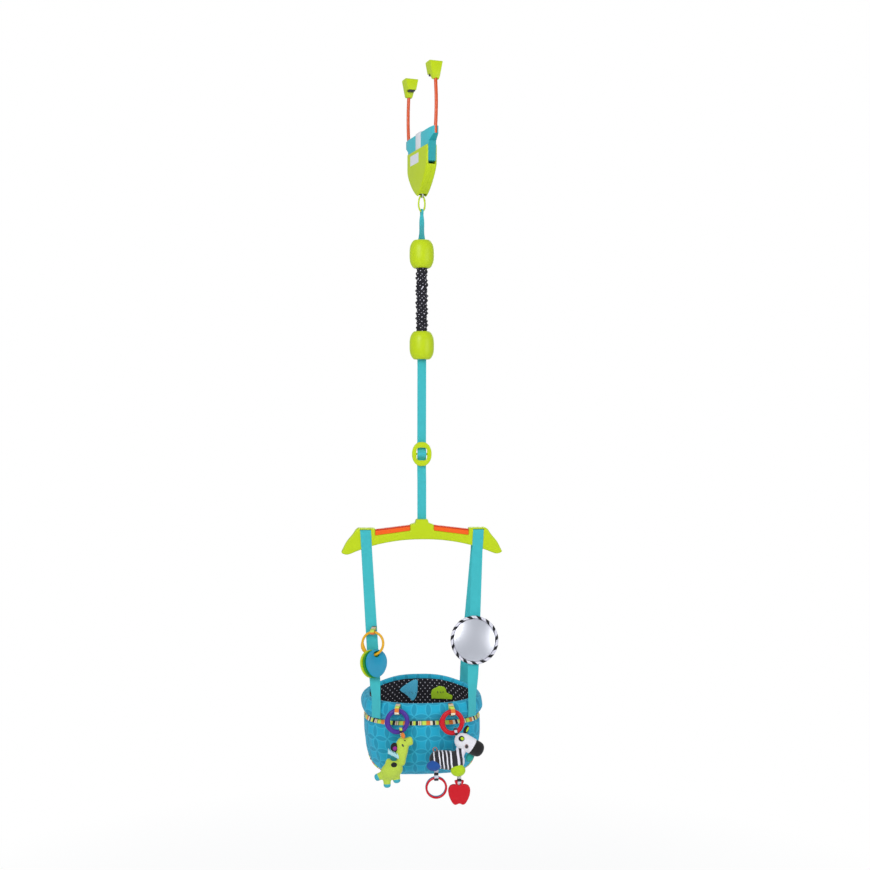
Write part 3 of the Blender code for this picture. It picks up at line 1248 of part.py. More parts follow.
def plate_hole(index):
    """Where the link's wire runs through a plate, counted from the front, in the link's frame."""
    along = (1 - index) * PLATE_SPACING
    angle = math.radians(-90) + along / LINK_RADIUS + math.radians(4)
    turn = Matrix.Rotation(math.radians(LINK_TURN_DEG), 3, "Z")
    return LINK_CENTRE + turn @ Vector((LINK_RADIUS * math.cos(angle), 0, LINK_RADIUS * math.sin(angle)))


def add_plates(frame, bodies, materials):
    turn = Matrix.Rotation(math.radians(PLATE_TURN_DEG), 3, "Z")
    for index, name in enumerate(("plate_front", "plate_middle", "plate_rear")):
        hole = plate_hole(index)
        middle_drop = PLATE_HEIGHT / 2 - PLATE_HOLE_DROP
        steps = 20
        rings = []
        edge = PLATE_THICKNESS * 0.3
        for shrink, depth in ((edge, -PLATE_THICKNESS / 2), (0.0, -PLATE_THICKNESS / 2 + edge),
                              (0.0, PLATE_THICKNESS / 2 - edge), (edge, PLATE_THICKNESS / 2)):
            ring = []
            for j in range(steps):
                angle = math.tau * j / steps
                c, s = math.cos(angle), math.sin(angle)
                egg = 1 + 0.10 * s
                a = (PLATE_WIDTH / 2 * egg - shrink) * c
                b = (PLATE_HEIGHT / 2 - shrink) * s
                ring.append(hole + turn @ Vector((a, depth, b - middle_drop)))
            rings.append(ring)
        plate = add_piece(name, *skin(rings), materials[index], bodies[index], frame)
        through = turn @ Vector((0, PLATE_THICKNESS + OVERRUN, 0))
        hole_tool = rod(hole - through, hole + through, PLATE_HOLE_RADIUS * PLATE_HOLE_SHARES[index], 14)
        cut(plate, add_piece(name + "_hole", *hole_tool, None, None, frame))


# Toys

def toy_ring_centre(x, drop):
    """A toy ring hangs in front of the rim's bulge and the trim band."""
    bulge = RIM_BULGE * 1.1
    wall = seat_plan_depth(x, SEAT_HALF_WIDTH + bulge, SEAT_HALF_DEPTH + bulge)
    y = -wall + SEAT_BACK_SHIFT - TOY_RING_CLASP_RADIUS - TOY_RING_STANDOFF
    return Vector((x, y, RIM_TOP - drop))


def add_toy_ring(tab_name, ring_name, centre, out_share, seat, body, striped, material, clasp_deg):
    radius = TOY_RING_RADIUS
    wire = centre + Vector((0, 0, radius * TOY_RING_TALL_SHARE))
    clear = TOY_RING_WIRE_RADIUS + TAB_THICKNESS / 2 + GAP * 12
    wall = seat_plan_depth(centre.x, SEAT_HALF_WIDTH, SEAT_HALF_DEPTH)
    sewn = Vector((centre.x, SEAT_BACK_SHIFT - wall - RIM_BULGE * out_share, RIM_TOP - RIM_HEIGHT * 0.075))
    turn_deg = math.copysign(math.degrees(wall_angle(abs(centre.x))), centre.x)
    tab = ribbon_loop(sewn, wire, clear, TAB_WIDTH, TAB_THICKNESS, turn_deg)
    add_piece(tab_name, *tab, striped, seat)
    ring = open_ring(radius, TOY_RING_WIRE_RADIUS, TOY_RING_CLASP_RADIUS, 0.0, centre, clasp_deg, TOY_RING_TALL_SHARE)
    add_piece(ring_name, *ring, material, body)


def stuffed(name, start, end, half_widths_shares, width, depth, material, body, steps=8, sides=9, clear=0.0):
    """A stuffed form from start to end that swells and tapers between rounded ends."""
    along = (end - start).normalized()
    start, end = start - along * clear, end + along * clear
    along = end - start
    length = along.length
    spine, widths, depths = [], [], []
    for distance, share in swell(length, half_widths_shares, steps):
        round_end = math.sqrt(max(1 - (2 * distance / length - 1) ** 6, 0.02))
        spine.append(start + along * (distance / length))
        widths.append(width / 2 * share * round_end + clear)
        depths.append(depth / 2 * share * round_end + clear)
    return add_piece(name, *limb(spine, widths, depths, sides), material, body)


def toy_hang_point(centre):
    """Where a toy's ribbon goes round the ring's lower wire, a little right of its lowest point."""
    angle = math.radians(TOY_HANG_DEG)
    return centre + Vector((TOY_RING_RADIUS * math.cos(angle), 0, TOY_RING_RADIUS * TOY_RING_TALL_SHARE * math.sin(angle)))


def add_giraffe(centre, body, plush):
    """Head and neck in one, and a body with three legs, hung from the purple ring by a ribbon."""
    hang = toy_hang_point(centre)

    def at(across, down, forward=0.0):
        return hang + Vector((across * GIRAFFE_WIDTH, -forward * GIRAFFE_DEPTH, -down * GIRAFFE_HEIGHT))
    trunk_ends = at(0.10, 0.52, 0.1), at(-0.42, 0.80, 0.1)
    trunk = stuffed("giraffe_body", *trunk_ends, GIRAFFE_TRUNK_SHARES, GIRAFFE_WIDTH * 0.48, GIRAFFE_DEPTH,
                    plush, body)
    for i, (start, end) in enumerate(GIRAFFE_LEG_SHARES):
        leg = stuffed(f"giraffe_leg_{i}", at(*start, 0.1), at(*end, 0.1), LEG_SHARES, GIRAFFE_WIDTH * 0.20,
                      GIRAFFE_DEPTH * 0.55, None, None, 5, 7)
        join(trunk, leg)
    head = stuffed("giraffe_head", at(0.06, 0.09, 0.1), at(0.04, 0.62, 0.1), GIRAFFE_HEAD_SHARES,
                   GIRAFFE_WIDTH * 0.34, GIRAFFE_DEPTH * 0.72, plush, body)
    snout = stuffed("giraffe_snout", at(0.02, 0.20, 0.1), at(0.30, 0.16, 0.1), LEG_SHARES, GIRAFFE_WIDTH * 0.24,
                    GIRAFFE_DEPTH * 0.55, None, None, 5, 7)
    join(head, snout)
    clear = TOY_RING_WIRE_RADIUS + TAB_THICKNESS / 2 + GAP * 11
    ribbon = ribbon_loop(at(0.05, 0.16, 0.1), hang, clear, TOY_RIBBON_WIDTH, TAB_THICKNESS)
    join(head, add_piece("giraffe_ribbon", *ribbon, None))
    room = stuffed("giraffe_body_room", *trunk_ends, GIRAFFE_TRUNK_SHARES, GIRAFFE_WIDTH * 0.48, GIRAFFE_DEPTH,
                   None, None, clear=GAP)
    cut(head, room)


def zebra_at(centre, across, down, forward=0.0):
    """A place on the zebra: shares of its width and height from its hanging point."""
    hang = toy_hang_point(centre)
    return hang + Vector((across * ZEBRA_WIDTH, -forward * ZEBRA_DEPTH, -down * ZEBRA_HEIGHT))


def add_zebra(centre, body, plush):
    """A head with a wide muzzle, a lying body with two padded legs, and the ribbons that carry two teethers."""
    hang = toy_hang_point(centre)

    def at(across, down, forward=ZEBRA_FORWARD_SHARE):
        return zebra_at(centre, across, down, forward)
    trunk_ends = at(0.16, 0.66), at(-0.48, 0.56)
    trunk = stuffed("zebra_body", *trunk_ends, ZEBRA_TRUNK_SHARES, ZEBRA_WIDTH * 0.34, ZEBRA_DEPTH, plush, body)
    for i, ((start, end), pad) in enumerate(zip(ZEBRA_LEG_SHARES, ZEBRA_PAD_SHARES)):
        leg = stuffed(f"zebra_leg_{i}", at(*start), at(*end), LEG_SHARES, ZEBRA_WIDTH * 0.22, ZEBRA_DEPTH * 0.45,
                      None, None, 5, 7)
        join(trunk, leg)
        foot = stuffed(f"zebra_pad_{i}", at(pad[0] - 0.12, pad[1], 0.30), at(pad[0] + 0.12, pad[1], 0.30),
                       PAD_SHARES, ZEBRA_WIDTH * 0.19, ZEBRA_DEPTH * 0.50, None, None, 6, 7)
        join(trunk, foot)
    head = stuffed("zebra_head", at(-0.01, 0.09), at(0.49, 0.44), ZEBRA_HEAD_SHARES, ZEBRA_WIDTH * 0.31,
                   ZEBRA_DEPTH * 0.80, plush, body)
    for i, (start, end) in enumerate(ZEBRA_EAR_SHARES):
        ear = stuffed(f"zebra_ear_{i}", at(*start), at(*end), LEG_SHARES, ZEBRA_WIDTH * 0.09, ZEBRA_DEPTH * 0.16,
                      None, None, 5, 8)
        join(head, ear)
    neck = stuffed("zebra_neck", at(0.13, 0.22), at(0.02, 0.60), LEG_SHARES, ZEBRA_WIDTH * 0.20, ZEBRA_DEPTH * 0.60,
                   None, None, 5, 7)
    join(head, neck)
    clear = TOY_RING_WIRE_RADIUS + TAB_THICKNESS / 2 + GAP * 11
    ribbon = ribbon_loop(at(0.05, 0.18), hang, clear, TOY_RIBBON_WIDTH, TAB_THICKNESS)
    join(head, add_piece("zebra_ribbon", *ribbon, None))
    room = stuffed("zebra_body_room", *trunk_ends, ZEBRA_TRUNK_SHARES, ZEBRA_WIDTH * 0.34, ZEBRA_DEPTH,
                   None, None, clear=GAP)
    cut(head, room)
    for name, wire, pad, clear, width in (("teether_ribbon", teether_wire(centre), ZEBRA_PAD_SHARES[0],
                                           TEETHER_LOOP_RADIUS, TOY_RIBBON_WIDTH),
                                          ("apple_ribbon", apple_bridge(centre), ZEBRA_PAD_SHARES[1],
                                           APPLE_LOOP_RADIUS, APPLE_RIBBON_WIDTH)):
        sewn = at(pad[0], pad[1])
        sewn = Vector((wire.x, sewn.y, sewn.z))
        join(trunk, add_piece(name, *ribbon_loop(sewn, wire, clear, width, TAB_THICKNESS), None))


def teether_wire(centre):
    """The middle of the two teether rings' upper wires."""
    foot = zebra_at(centre, *ZEBRA_PAD_SHARES[0], ZEBRA_FORWARD_SHARE)
    return foot + Vector((TEETHER_SHIFT, 0, -TEETHER_RIBBON_DROP))


def apple_bridge(centre):
    """The middle of the narrow bridge over the apple's hole."""
    foot = zebra_at(centre, *ZEBRA_PAD_SHARES[1], ZEBRA_FORWARD_SHARE)
    return foot + Vector((APPLE_SHIFT, 0, -APPLE_RIBBON_DROP))


def add_teethers(centre, ring_body, apple_body, red, teal):
    wire = teether_wire(centre)
    for name, side, material in (("teether_ring_front", -1, red), ("teether_ring_rear", 1, teal)):
        middle = wire + Vector((0, side * TEETHER_RING_SPACING / 2, -TEETHER_RING_RADIUS))
        ring = open_ring(TEETHER_RING_RADIUS, TEETHER_RING_WIRE_RADIUS, TEETHER_RING_WIRE_RADIUS, 0.0, middle, 0,
                         1.0, 20, 6)
        add_piece(name, *ring, material, ring_body)
    bridge = apple_bridge(centre)
    top = bridge.z + APPLE_BRIDGE_HEIGHT / 2
    outline = []
    for across, down in APPLE_SHARES:
        outline.append((across * APPLE_WIDTH / 2, top - down * APPLE_HEIGHT))
    outline += [(-a, b) for a, b in outline[::-1]]
    small = inset(outline[::-1], APPLE_EDGE)[::-1]
    half = APPLE_THICKNESS / 2
    rings = []
    for shape, y in ((small, -half), (outline, -half + APPLE_EDGE), (outline, half - APPLE_EDGE), (small, half)):
        rings.append([Vector((bridge.x + a, bridge.y + y, b)) for a, b in shape])
    apple = add_piece("apple_teether", *skin(rings), red, apple_body)
    hole = Vector((bridge.x, bridge.y, bridge.z - APPLE_BRIDGE_HEIGHT / 2 - APPLE_HOLE_RADIUS))
    through = Vector((0, APPLE_THICKNESS, 0))
    cut(apple, add_piece("apple_hole", *rod(hole - through, hole + through, APPLE_HOLE_RADIUS, 14), None))


def main():
    clear_scene()
    lime = make_material("lime plastic", "C3D60E", 0.38)
    teal_plastic = make_material("teal plastic", "3CB8BF", 0.42)
    webbing = make_material("teal webbing", "3CB8BF", 0.85)
    coated = make_material("orange coated steel", "D2622C", 0.35)
    steel = make_material("zinc plated steel", "C9CBCE", 0.32, 1.0)
    rubber = make_material("dark rubber", "3A3C3E", 0.8)
    white = make_material("white plastic", "E2E4E6", 0.45)
    orange = make_material("orange plastic", "FF6A1F", 0.4)
    cloth = make_material("printed teal cotton", "12A8C6", 0.9)
    dotted = make_material("dotted black cotton", "15131D", 0.9)
    striped = make_material("striped ribbon", "D89A48", 0.85)
    blue_terry = make_material("blue terry", "3FA9D0", 0.95)
    green_terry = make_material("green terry", "B4D82A", 0.95)
    silver = make_material("mirror film", "D8DADF", 0.08, 1.0)
    yellow = make_material("yellow plastic", "E8B42C", 0.4)
    blue = make_material("blue plastic", "0C9BB8", 0.4)
    green = make_material("green plastic", "0E8A2A", 0.4)
    purple = make_material("purple plastic", "5B2C9B", 0.38)
    red = make_material("red plastic", "D9152B", 0.35)
    plush = make_material("lime plush", "B5D04A", 0.95)
    zebra_white = make_material("white plush", "E8E6EA", 0.95)

    root = make_empty("clamp", (0, 0, 0))
    near_pivot = CLAMP @ Vector((0, -PIVOT_OFFSET, PIVOT_Z))
    far_pivot = CLAMP @ Vector((0, PIVOT_OFFSET, PIVOT_Z))
    near = make_empty("near_arm", near_pivot, root)
    far = make_empty("far_arm", far_pivot, root)
    yoke = make_empty("yoke", (0, 0, YOKE_BAR_Z), root)
    ring_body = make_empty("load_ring_body", (0, 0, RING_TOP_Z), yoke)
    hanger = make_empty("hanger", (0, 0, RING_BOTTOM_Z), ring_body)
    upper = make_empty("upper_cap", (0, 0, UPPER_PIN_Z), hanger)
    lower = make_empty("lower_cap", (0, 0, LOWER_PIN_Z), upper)
    adjuster = make_empty("adjuster", (0, 0, BUCKLE_Z), lower)
    hub = make_empty("hub", (0, 0, HUB_PIN_Z), lower)
    bar = make_empty("bar", (0, 0, HUB_PIN_Z), hub)
    seat = make_empty("seat", (0, 0, HUB_TOP - BAR_HEIGHT * 0.90), bar)

    add_clamp_housing(root, lime, white, steel)
    add_clamp_arm("near", -1, near, coated, lime, teal_plastic, rubber)
    add_clamp_arm("far", 1, far, coated, lime, teal_plastic, rubber)
    add_pull_yoke(yoke, steel)
    add_load_ring(ring_body, lime)
    add_hanger_strap(hanger, webbing)
    add_cap("upper", UPPER_CAP_BOTTOM, UPPER_CAP_TOP, upper, lime, steel)
    add_cap("lower", LOWER_CAP_TOP, LOWER_CAP_BOTTOM, lower, lime, steel)
    add_bounce_spring(upper, steel)
    add_spring_sleeve(upper, dotted)
    add_safety_strap(upper, white)
    add_height_strap(lower, webbing)
    add_buckle(adjuster, lime)
    add_bar(hub, bar, lime, orange, steel)
    add_seat_rim(seat, cloth)
    add_seat(seat, cloth, dotted, striped)
    add_leaves(seat, blue_terry, green_terry)
    add_side_straps(seat, webbing)

    inward = math.atan2(SIDE_STRAP_OFFSET - SIDE_STRAP_SEAT_OFFSET, SEAT_TOP_DROP)
    mirror_frame = strap_frame(1, SHOULDER_TOP - MIRROR_DROP) @ Matrix.Rotation(inward, 4, "Y")
    mirror = make_empty("mirror", mirror_frame.translation, seat)
    add_mirror(mirror_frame, mirror, striped, silver, webbing)
    leaning = link_frame()
    link = make_empty("link", leaning @ (LINK_CENTRE + Vector((0, 0, LINK_RADIUS))), seat)
    add_link(leaning, seat, link, striped, yellow)
    plate_bodies = [make_empty(f"plate_{i}", leaning @ plate_hole(i), link) for i in range(3)]
    add_plates(leaning, plate_bodies, [blue, green, lime])
    purple_centre = toy_ring_centre(PURPLE_RING_OFFSET, PURPLE_RING_DROP)
    red_centre = toy_ring_centre(RED_RING_OFFSET, RED_RING_DROP)
    top_of_ring = Vector((0, 0, TOY_RING_RADIUS * TOY_RING_TALL_SHARE))
    purple_body = make_empty("purple_ring_body", purple_centre + top_of_ring, seat)
    red_body = make_empty("red_ring_body", red_centre + top_of_ring, seat)
    add_toy_ring("toy_tab_left", "purple_ring", purple_centre, 0.88, seat, purple_body, striped, purple, 195)
    add_toy_ring("toy_tab_right", "red_ring", red_centre, 0.92, seat, red_body, striped, red, 185)
    giraffe = make_empty("giraffe", toy_hang_point(purple_centre), purple_body)
    add_giraffe(purple_centre, giraffe, plush)
    zebra = make_empty("zebra", toy_hang_point(red_centre), red_body)
    teethers = make_empty("teether_rings", teether_wire(red_centre), zebra)
    apple = make_empty("apple", apple_bridge(red_centre), zebra)
    add_zebra(red_centre, zebra, zebra_white)
    add_teethers(red_centre, teethers, apple, red, blue)


main()
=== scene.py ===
import math

import bmesh
import bpy
import numpy as np
from mathutils import Matrix, Vector


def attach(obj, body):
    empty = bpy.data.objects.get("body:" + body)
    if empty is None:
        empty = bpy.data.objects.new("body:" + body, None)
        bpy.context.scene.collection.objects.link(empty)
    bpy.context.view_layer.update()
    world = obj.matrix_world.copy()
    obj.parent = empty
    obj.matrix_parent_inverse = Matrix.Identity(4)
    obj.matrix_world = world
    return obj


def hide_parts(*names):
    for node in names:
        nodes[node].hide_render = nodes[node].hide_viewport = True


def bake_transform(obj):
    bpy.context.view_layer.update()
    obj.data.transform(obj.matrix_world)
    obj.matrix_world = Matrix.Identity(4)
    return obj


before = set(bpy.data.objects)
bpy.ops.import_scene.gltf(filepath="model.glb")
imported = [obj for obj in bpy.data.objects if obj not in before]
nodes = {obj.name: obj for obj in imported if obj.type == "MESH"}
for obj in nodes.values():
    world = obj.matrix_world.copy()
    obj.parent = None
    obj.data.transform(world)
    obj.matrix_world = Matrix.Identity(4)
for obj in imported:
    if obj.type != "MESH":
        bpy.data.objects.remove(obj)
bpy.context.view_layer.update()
print("frame loaded:", len(nodes), "nodes")

# Clearance between two neighbouring pieces, the bar's height and the side straps' run down to the rim
gap, barHeight, strapRun = 0.0003, 0.0775, 0.370

# Heights of the hanging parts, from the clamp's origin down
level = dict(armTop=-0.113, housingTop=-0.148, pivot=-0.165, eye=-0.250, ringTop=-0.2509, ringBottom=-0.2869,
             upperPin=-0.3779, upperCapTop=-0.3519, upperCapBottom=-0.4144, lowerCapTop=-0.5569,
             lowerPin=-0.5934, lowerCapBottom=-0.6194, buckle=-0.8324, hubTop=-0.9784, hubPin=-0.9971)
level["shoulder"] = level["hubTop"] - barHeight * 0.245
level["slot"] = level["shoulder"] - 0.0045
level["seatPivot"] = level["hubTop"] - barHeight * 0.90
level["rimTop"] = level["shoulder"] - strapRun
level["rimBottom"] = level["rimTop"] - 0.041
level["shellTop"] = level["rimBottom"] - gap
level["shellBottom"] = level["shellTop"] - 0.133
level["legHole"] = level["shellTop"] - 0.129


# Shader helpers

def toLinear(hexText):
    # sRGB to linear: c / 12.92 up to 0.04045, and ((c + 0.055) / 1.055) ^ 2.4 above
    c = np.array([int(hexText[i:i + 2], 16) / 255 for i in (0, 2, 4)])
    linear = np.where(c <= 0.04045, c / 12.92, ((c + 0.055) / 1.055) ** 2.4)
    return (*linear.tolist(), 1.0)


def addNode(tree, kind, settings, links):
    # One shader node: settings are its own options or input values, and links feed its inputs
    node = tree.nodes.new("ShaderNode" + kind)
    for key, value in settings.items():
        if isinstance(key, str) and hasattr(node, key):
            setattr(node, key, value)
        else:
            node.inputs[key].default_value = value
    for key, socket in links.items():
        tree.links.new(socket, node.inputs[key])
    return node


def mathOf(tree, operation, *terms):
    # The result of one Math node on numbers and sockets
    numbers = {i: term for i, term in enumerate(terms) if isinstance(term, (int, float))}
    sockets = {i: term for i, term in enumerate(terms) if i not in numbers}
    return addNode(tree, "Math", {"operation": operation, **numbers}, sockets).outputs[0]


def mixOf(tree, share, first, second):
    # first x (1 - share) + second x share, for two colours
    terms = {0: share, 6: first, 7: second}
    fixed = {i: term for i, term in terms.items() if isinstance(term, (int, float, tuple))}
    sockets = {i: term for i, term in terms.items() if i not in fixed}
    return addNode(tree, "Mix", {"data_type": "RGBA", **fixed}, sockets).outputs[2]


def tune(node, values):
    # Sets inputs of a shader node by their names
    for key, value in values.items():
        node.inputs[key].default_value = value


def startMaterial(name, hexText, roughness, metallic=0.0):
    # One colour and roughness, which the surfaces below vary
    material = bpy.data.materials.new(name)
    material.use_nodes = True
    shader = material.node_tree.nodes["Principled BSDF"]
    tune(shader, {"Base Color": toLinear(hexText), "Roughness": roughness, "Metallic": metallic})
    return material, material.node_tree, shader


def objectPlace(tree):
    # Places in the part's own metres
    return addNode(tree, "TexCoord", {}, {}).outputs["Object"]


def clothPlace(tree):
    # The two UV lengths in metres: across the cloth, and along it
    uv = addNode(tree, "UVMap", {"uv_map": "UVMap"}, {}).outputs["UV"]
    split = addNode(tree, "SeparateXYZ", {}, {"Vector": uv})
    return split.outputs["X"], split.outputs["Y"]


def bumpFrom(tree, shader, height, depth, strength=0.6):
    # Tilts the surface's light by a height of 0 to 1 that stands for depth metres
    bump = addNode(tree, "Bump", {"Strength": strength, "Distance": depth}, {"Height": height})
    tree.links.new(bump.outputs["Normal"], shader.inputs["Normal"])


def noiseOf(tree, place, size, detail=2.0):
    # Noise whose blotches are about size metres wide
    return addNode(tree, "TexNoise", {"Scale": 1.0 / size, "Detail": detail}, {"Vector": place}).outputs["Fac"]


def rippleOf(tree, length, pitch):
    # sin(2 pi x length / pitch)
    return mathOf(tree, "SINE", mathOf(tree, "MULTIPLY", length, math.tau / pitch))


def bandsOf(tree, length, pitch, bands):
    # A repeating row of flat colours: bands are (start in metres, colour)
    share = mathOf(tree, "FRACT", mathOf(tree, "DIVIDE", length, pitch))
    ramp = addNode(tree, "ValToRGB", {}, {"Fac": share})
    ramp.color_ramp.interpolation = "CONSTANT"
    steps = ramp.color_ramp.elements
    for i, (start, hexText) in enumerate(bands):
        step = steps[i] if i < len(steps) else steps.new(start / pitch)
        step.position = start / pitch
        step.color = toLinear(hexText)
    return ramp.outputs["Color"]


# Materials

def mouldedPlastic(name, hexText, roughness, grain=0.0004):
    # Injection moulded, with the fine grain of a spark-eroded mould and a slightly uneven gloss
    material, tree, shader = startMaterial(name, hexText, roughness)
    place = objectPlace(tree)
    broad = noiseOf(tree, place, 0.05)
    tree.links.new(mathOf(tree, "MULTIPLY_ADD", broad, 0.16, roughness - 0.08), shader.inputs["Roughness"])
    tune(shader, {"Specular IOR Level": 0.35, "Subsurface Weight": 0.04, "Subsurface Radius": (0.002, 0.002, 0.002)})
    bumpFrom(tree, shader, noiseOf(tree, place, grain), 0.00002, 0.15)
    return material


def coatedSteel(name, hexText):
    # Steel rod with a sprayed and baked coat: a faint orange peel under a clear gloss
    material, tree, shader = startMaterial(name, hexText, 0.30)
    tune(shader, {"Coat Weight": 0.15})
    bumpFrom(tree, shader, noiseOf(tree, objectPlace(tree), 0.0012), 0.00005, 0.3)
    return material


def zincSteel(name):
    # Zinc plated: drawn wire and stamped sheet with the plating's soft blotches
    material, tree, shader = startMaterial(name, "C4C7CB", 0.30, 1.0)
    place = objectPlace(tree)
    blotch = noiseOf(tree, place, 0.004, 4.0)
    tree.links.new(mathOf(tree, "MULTIPLY_ADD", blotch, 0.25, 0.18), shader.inputs["Roughness"])
    return material


def mouldedRubber(name):
    # Compression moulded rubber with a matt, slightly dusty face
    material, tree, shader = startMaterial(name, "33363A", 0.78)
    bumpFrom(tree, shader, noiseOf(tree, objectPlace(tree), 0.0006, 4.0), 0.0001, 0.5)
    return material


def wovenWebbing(name, hexText, grooveShadeHex, ribPitch):
    # Woven polyester: cross ribs from the weft, a finer twill along it, and painted shade that darkens the grooves
    material, tree, shader = startMaterial(name, hexText, 0.72)
    across, along = clothPlace(tree)
    rib = rippleOf(tree, along, ribPitch)
    twill = rippleOf(tree, mathOf(tree, "ADD", across, mathOf(tree, "MULTIPLY", along, 0.6)), 0.0009)
    height = mathOf(tree, "MULTIPLY_ADD", twill, 0.35, rib)
    # Painted shade: the colour darkens in the grooves of the weave; the noise below adds a random unevenness of tone
    groove = mathOf(tree, "MULTIPLY_ADD", height, -0.14, 0.16)
    fade = noiseOf(tree, objectPlace(tree), 0.012)
    share = mathOf(tree, "MULTIPLY_ADD", fade, 0.16, groove)
    tree.links.new(mixOf(tree, share, toLinear(hexText), toLinear(grooveShadeHex)), shader.inputs["Base Color"])
    tune(shader, {"Sheen Weight": 0.15})
    bumpFrom(tree, shader, height, 0.00022)
    return material


def weaveBump(tree, shader, across, along, pitch, depth):
    # Plain weave: the product of one ripple across and one along
    height = mathOf(tree, "MULTIPLY", rippleOf(tree, across, pitch), rippleOf(tree, along, pitch))
    bumpFrom(tree, shader, height, depth)


def printedCotton(name, pitch):
    # Plain woven cotton, screen printed with overlapping circles that make four-petal flowers
    material, tree, shader = startMaterial(name, "12A0C0", 0.82)
    across, along = clothPlace(tree)
    cells = []
    for length in (across, along):
        share = mathOf(tree, "FRACT", mathOf(tree, "DIVIDE", length, pitch))
        cells.append(mathOf(tree, "ABSOLUTE", mathOf(tree, "SUBTRACT", share, 0.5)))
    reach = []
    for i in (0, 1):
        far = mathOf(tree, "POWER", mathOf(tree, "ADD", cells[i], 0.5), 2.0)
        near = mathOf(tree, "POWER", mathOf(tree, "SUBTRACT", 0.5, cells[1 - i]), 2.0)
        reach.append(mathOf(tree, "SQRT", mathOf(tree, "ADD", far, near)))
    edge = mathOf(tree, "SUBTRACT", mathOf(tree, "MINIMUM", *reach), math.sqrt(0.5))
    petal = mathOf(tree, "LESS_THAN", edge, 0.0)
    line = mathOf(tree, "LESS_THAN", mathOf(tree, "ABSOLUTE", edge), 0.035)
    ground = mixOf(tree, noiseOf(tree, objectPlace(tree), 0.03), toLinear("079FC0"), toLinear("0FB1D4"))
    filled = mixOf(tree, mathOf(tree, "MULTIPLY", petal, 0.75), ground, toLinear("0A8FB0"))
    inked = mixOf(tree, mathOf(tree, "MULTIPLY", line, 0.50), filled, toLinear("3DC0DC"))
    tree.links.new(inked, shader.inputs["Base Color"])
    tune(shader, {"Sheen Weight": 0.08})
    weaveBump(tree, shader, across, along, 0.0009, 0.00012)
    return material


def dottedCotton(name, pitch, dotRadius, wander):
    # Plain woven cotton, dyed black and printed with small white dots in offset rows that wander with the cloth
    material, tree, shader = startMaterial(name, "12101A", 0.85)
    across, along = clothPlace(tree)
    rowShare = 0.56
    drift = mathOf(tree, "MULTIPLY_ADD", noiseOf(tree, objectPlace(tree), 0.025), pitch * wander, 0.0)
    row = mathOf(tree, "DIVIDE", mathOf(tree, "ADD", along, drift), pitch * rowShare)
    offset = mathOf(tree, "MULTIPLY", mathOf(tree, "MODULO", mathOf(tree, "FLOOR", row), 2.0), 0.5)
    column = mathOf(tree, "ADD", mathOf(tree, "DIVIDE", mathOf(tree, "SUBTRACT", across, drift), pitch), offset)
    a = mathOf(tree, "POWER", mathOf(tree, "SUBTRACT", mathOf(tree, "FRACT", column), 0.5), 2.0)
    offRow = mathOf(tree, "SUBTRACT", mathOf(tree, "FRACT", row), 0.5)
    b = mathOf(tree, "POWER", mathOf(tree, "MULTIPLY", offRow, rowShare), 2.0)
    away = mathOf(tree, "SQRT", mathOf(tree, "ADD", a, b))
    dot = mathOf(tree, "LESS_THAN", away, dotRadius / pitch)
    tree.links.new(mixOf(tree, dot, toLinear("14121C"), toLinear("D9D6DF")), shader.inputs["Base Color"])
    weaveBump(tree, shader, across, along, 0.0009, 0.00012)
    return material


def stripedRibbon(name, pitch, bands):
    # Jacquard ribbon: colour bands woven across it, with a fine weft rib
    material, tree, shader = startMaterial(name, "D89A48", 0.7)
    across, along = clothPlace(tree)
    tree.links.new(bandsOf(tree, along, pitch, bands), shader.inputs["Base Color"])
    tune(shader, {"Sheen Weight": 0.2})
    bumpFrom(tree, shader, rippleOf(tree, along, 0.0008), 0.0001)
    return material


def dashedCover(name, pitch, slant):
    # Cotton cover printed with black dashes that slant round the mirror's padded border
    material, tree, shader = startMaterial(name, "E4E2EA", 0.82)
    across, along = clothPlace(tree)
    slanted = mathOf(tree, "ADD", along, mathOf(tree, "MULTIPLY", across, slant))
    bands = [(0.0, "DEDCE6"), (pitch * 0.56, "15141A")]
    tree.links.new(bandsOf(tree, slanted, pitch, bands), shader.inputs["Base Color"])
    weaveBump(tree, shader, across, along, 0.0009, 0.00012)
    return material


def mirrorFilm(name):
    # Vapour-coated polyester film behind a clear skin: nearly flat, with a slow ripple
    material, tree, shader = startMaterial(name, "DCDDE4", 0.30, 0.85)
    bumpFrom(tree, shader, noiseOf(tree, objectPlace(tree), 0.03, 0.0), 0.0006, 0.25)
    return material


def pileCloth(name, hexText, tuftShadeHex, pileSize, depth):
    # Knitted pile: short fibres that catch light at the rim, with painted shade that darkens the gaps between the
    # tufts
    material, tree, shader = startMaterial(name, hexText, 0.9)
    place = objectPlace(tree)
    tuft = noiseOf(tree, place, pileSize, 3.0)
    # Painted shade: where the noise is low, between the tufts, the darker colour is mixed in
    share = mathOf(tree, "MULTIPLY_ADD", tuft, -1.6, 1.05)
    share = mathOf(tree, "MINIMUM", mathOf(tree, "MAXIMUM", share, 0.0), 0.8)
    tree.links.new(mixOf(tree, share, toLinear(hexText), toLinear(tuftShadeHex)), shader.inputs["Base Color"])
    tune(shader, {"Sheen Weight": 0.2, "Sheen Roughness": 0.5})
    bumpFrom(tree, shader, tuft, depth, 0.8)
    return material


def withSpots(material, spots):
    # Dyes round patches on a pile: each spot is (centre, radius, colour), in the part's own places
    tree = material.node_tree
    shader = tree.nodes["Principled BSDF"]
    colour = shader.inputs["Base Color"].links[0].from_socket
    place = objectPlace(tree)
    for centre, radius, hexText in spots:
        away = addNode(tree, "VectorMath", {"operation": "DISTANCE", 1: centre}, {0: place}).outputs["Value"]
        inside = mathOf(tree, "LESS_THAN", away, radius)
        colour = mixOf(tree, inside, colour, toLinear(hexText))
    tree.links.new(colour, shader.inputs["Base Color"])
    return material


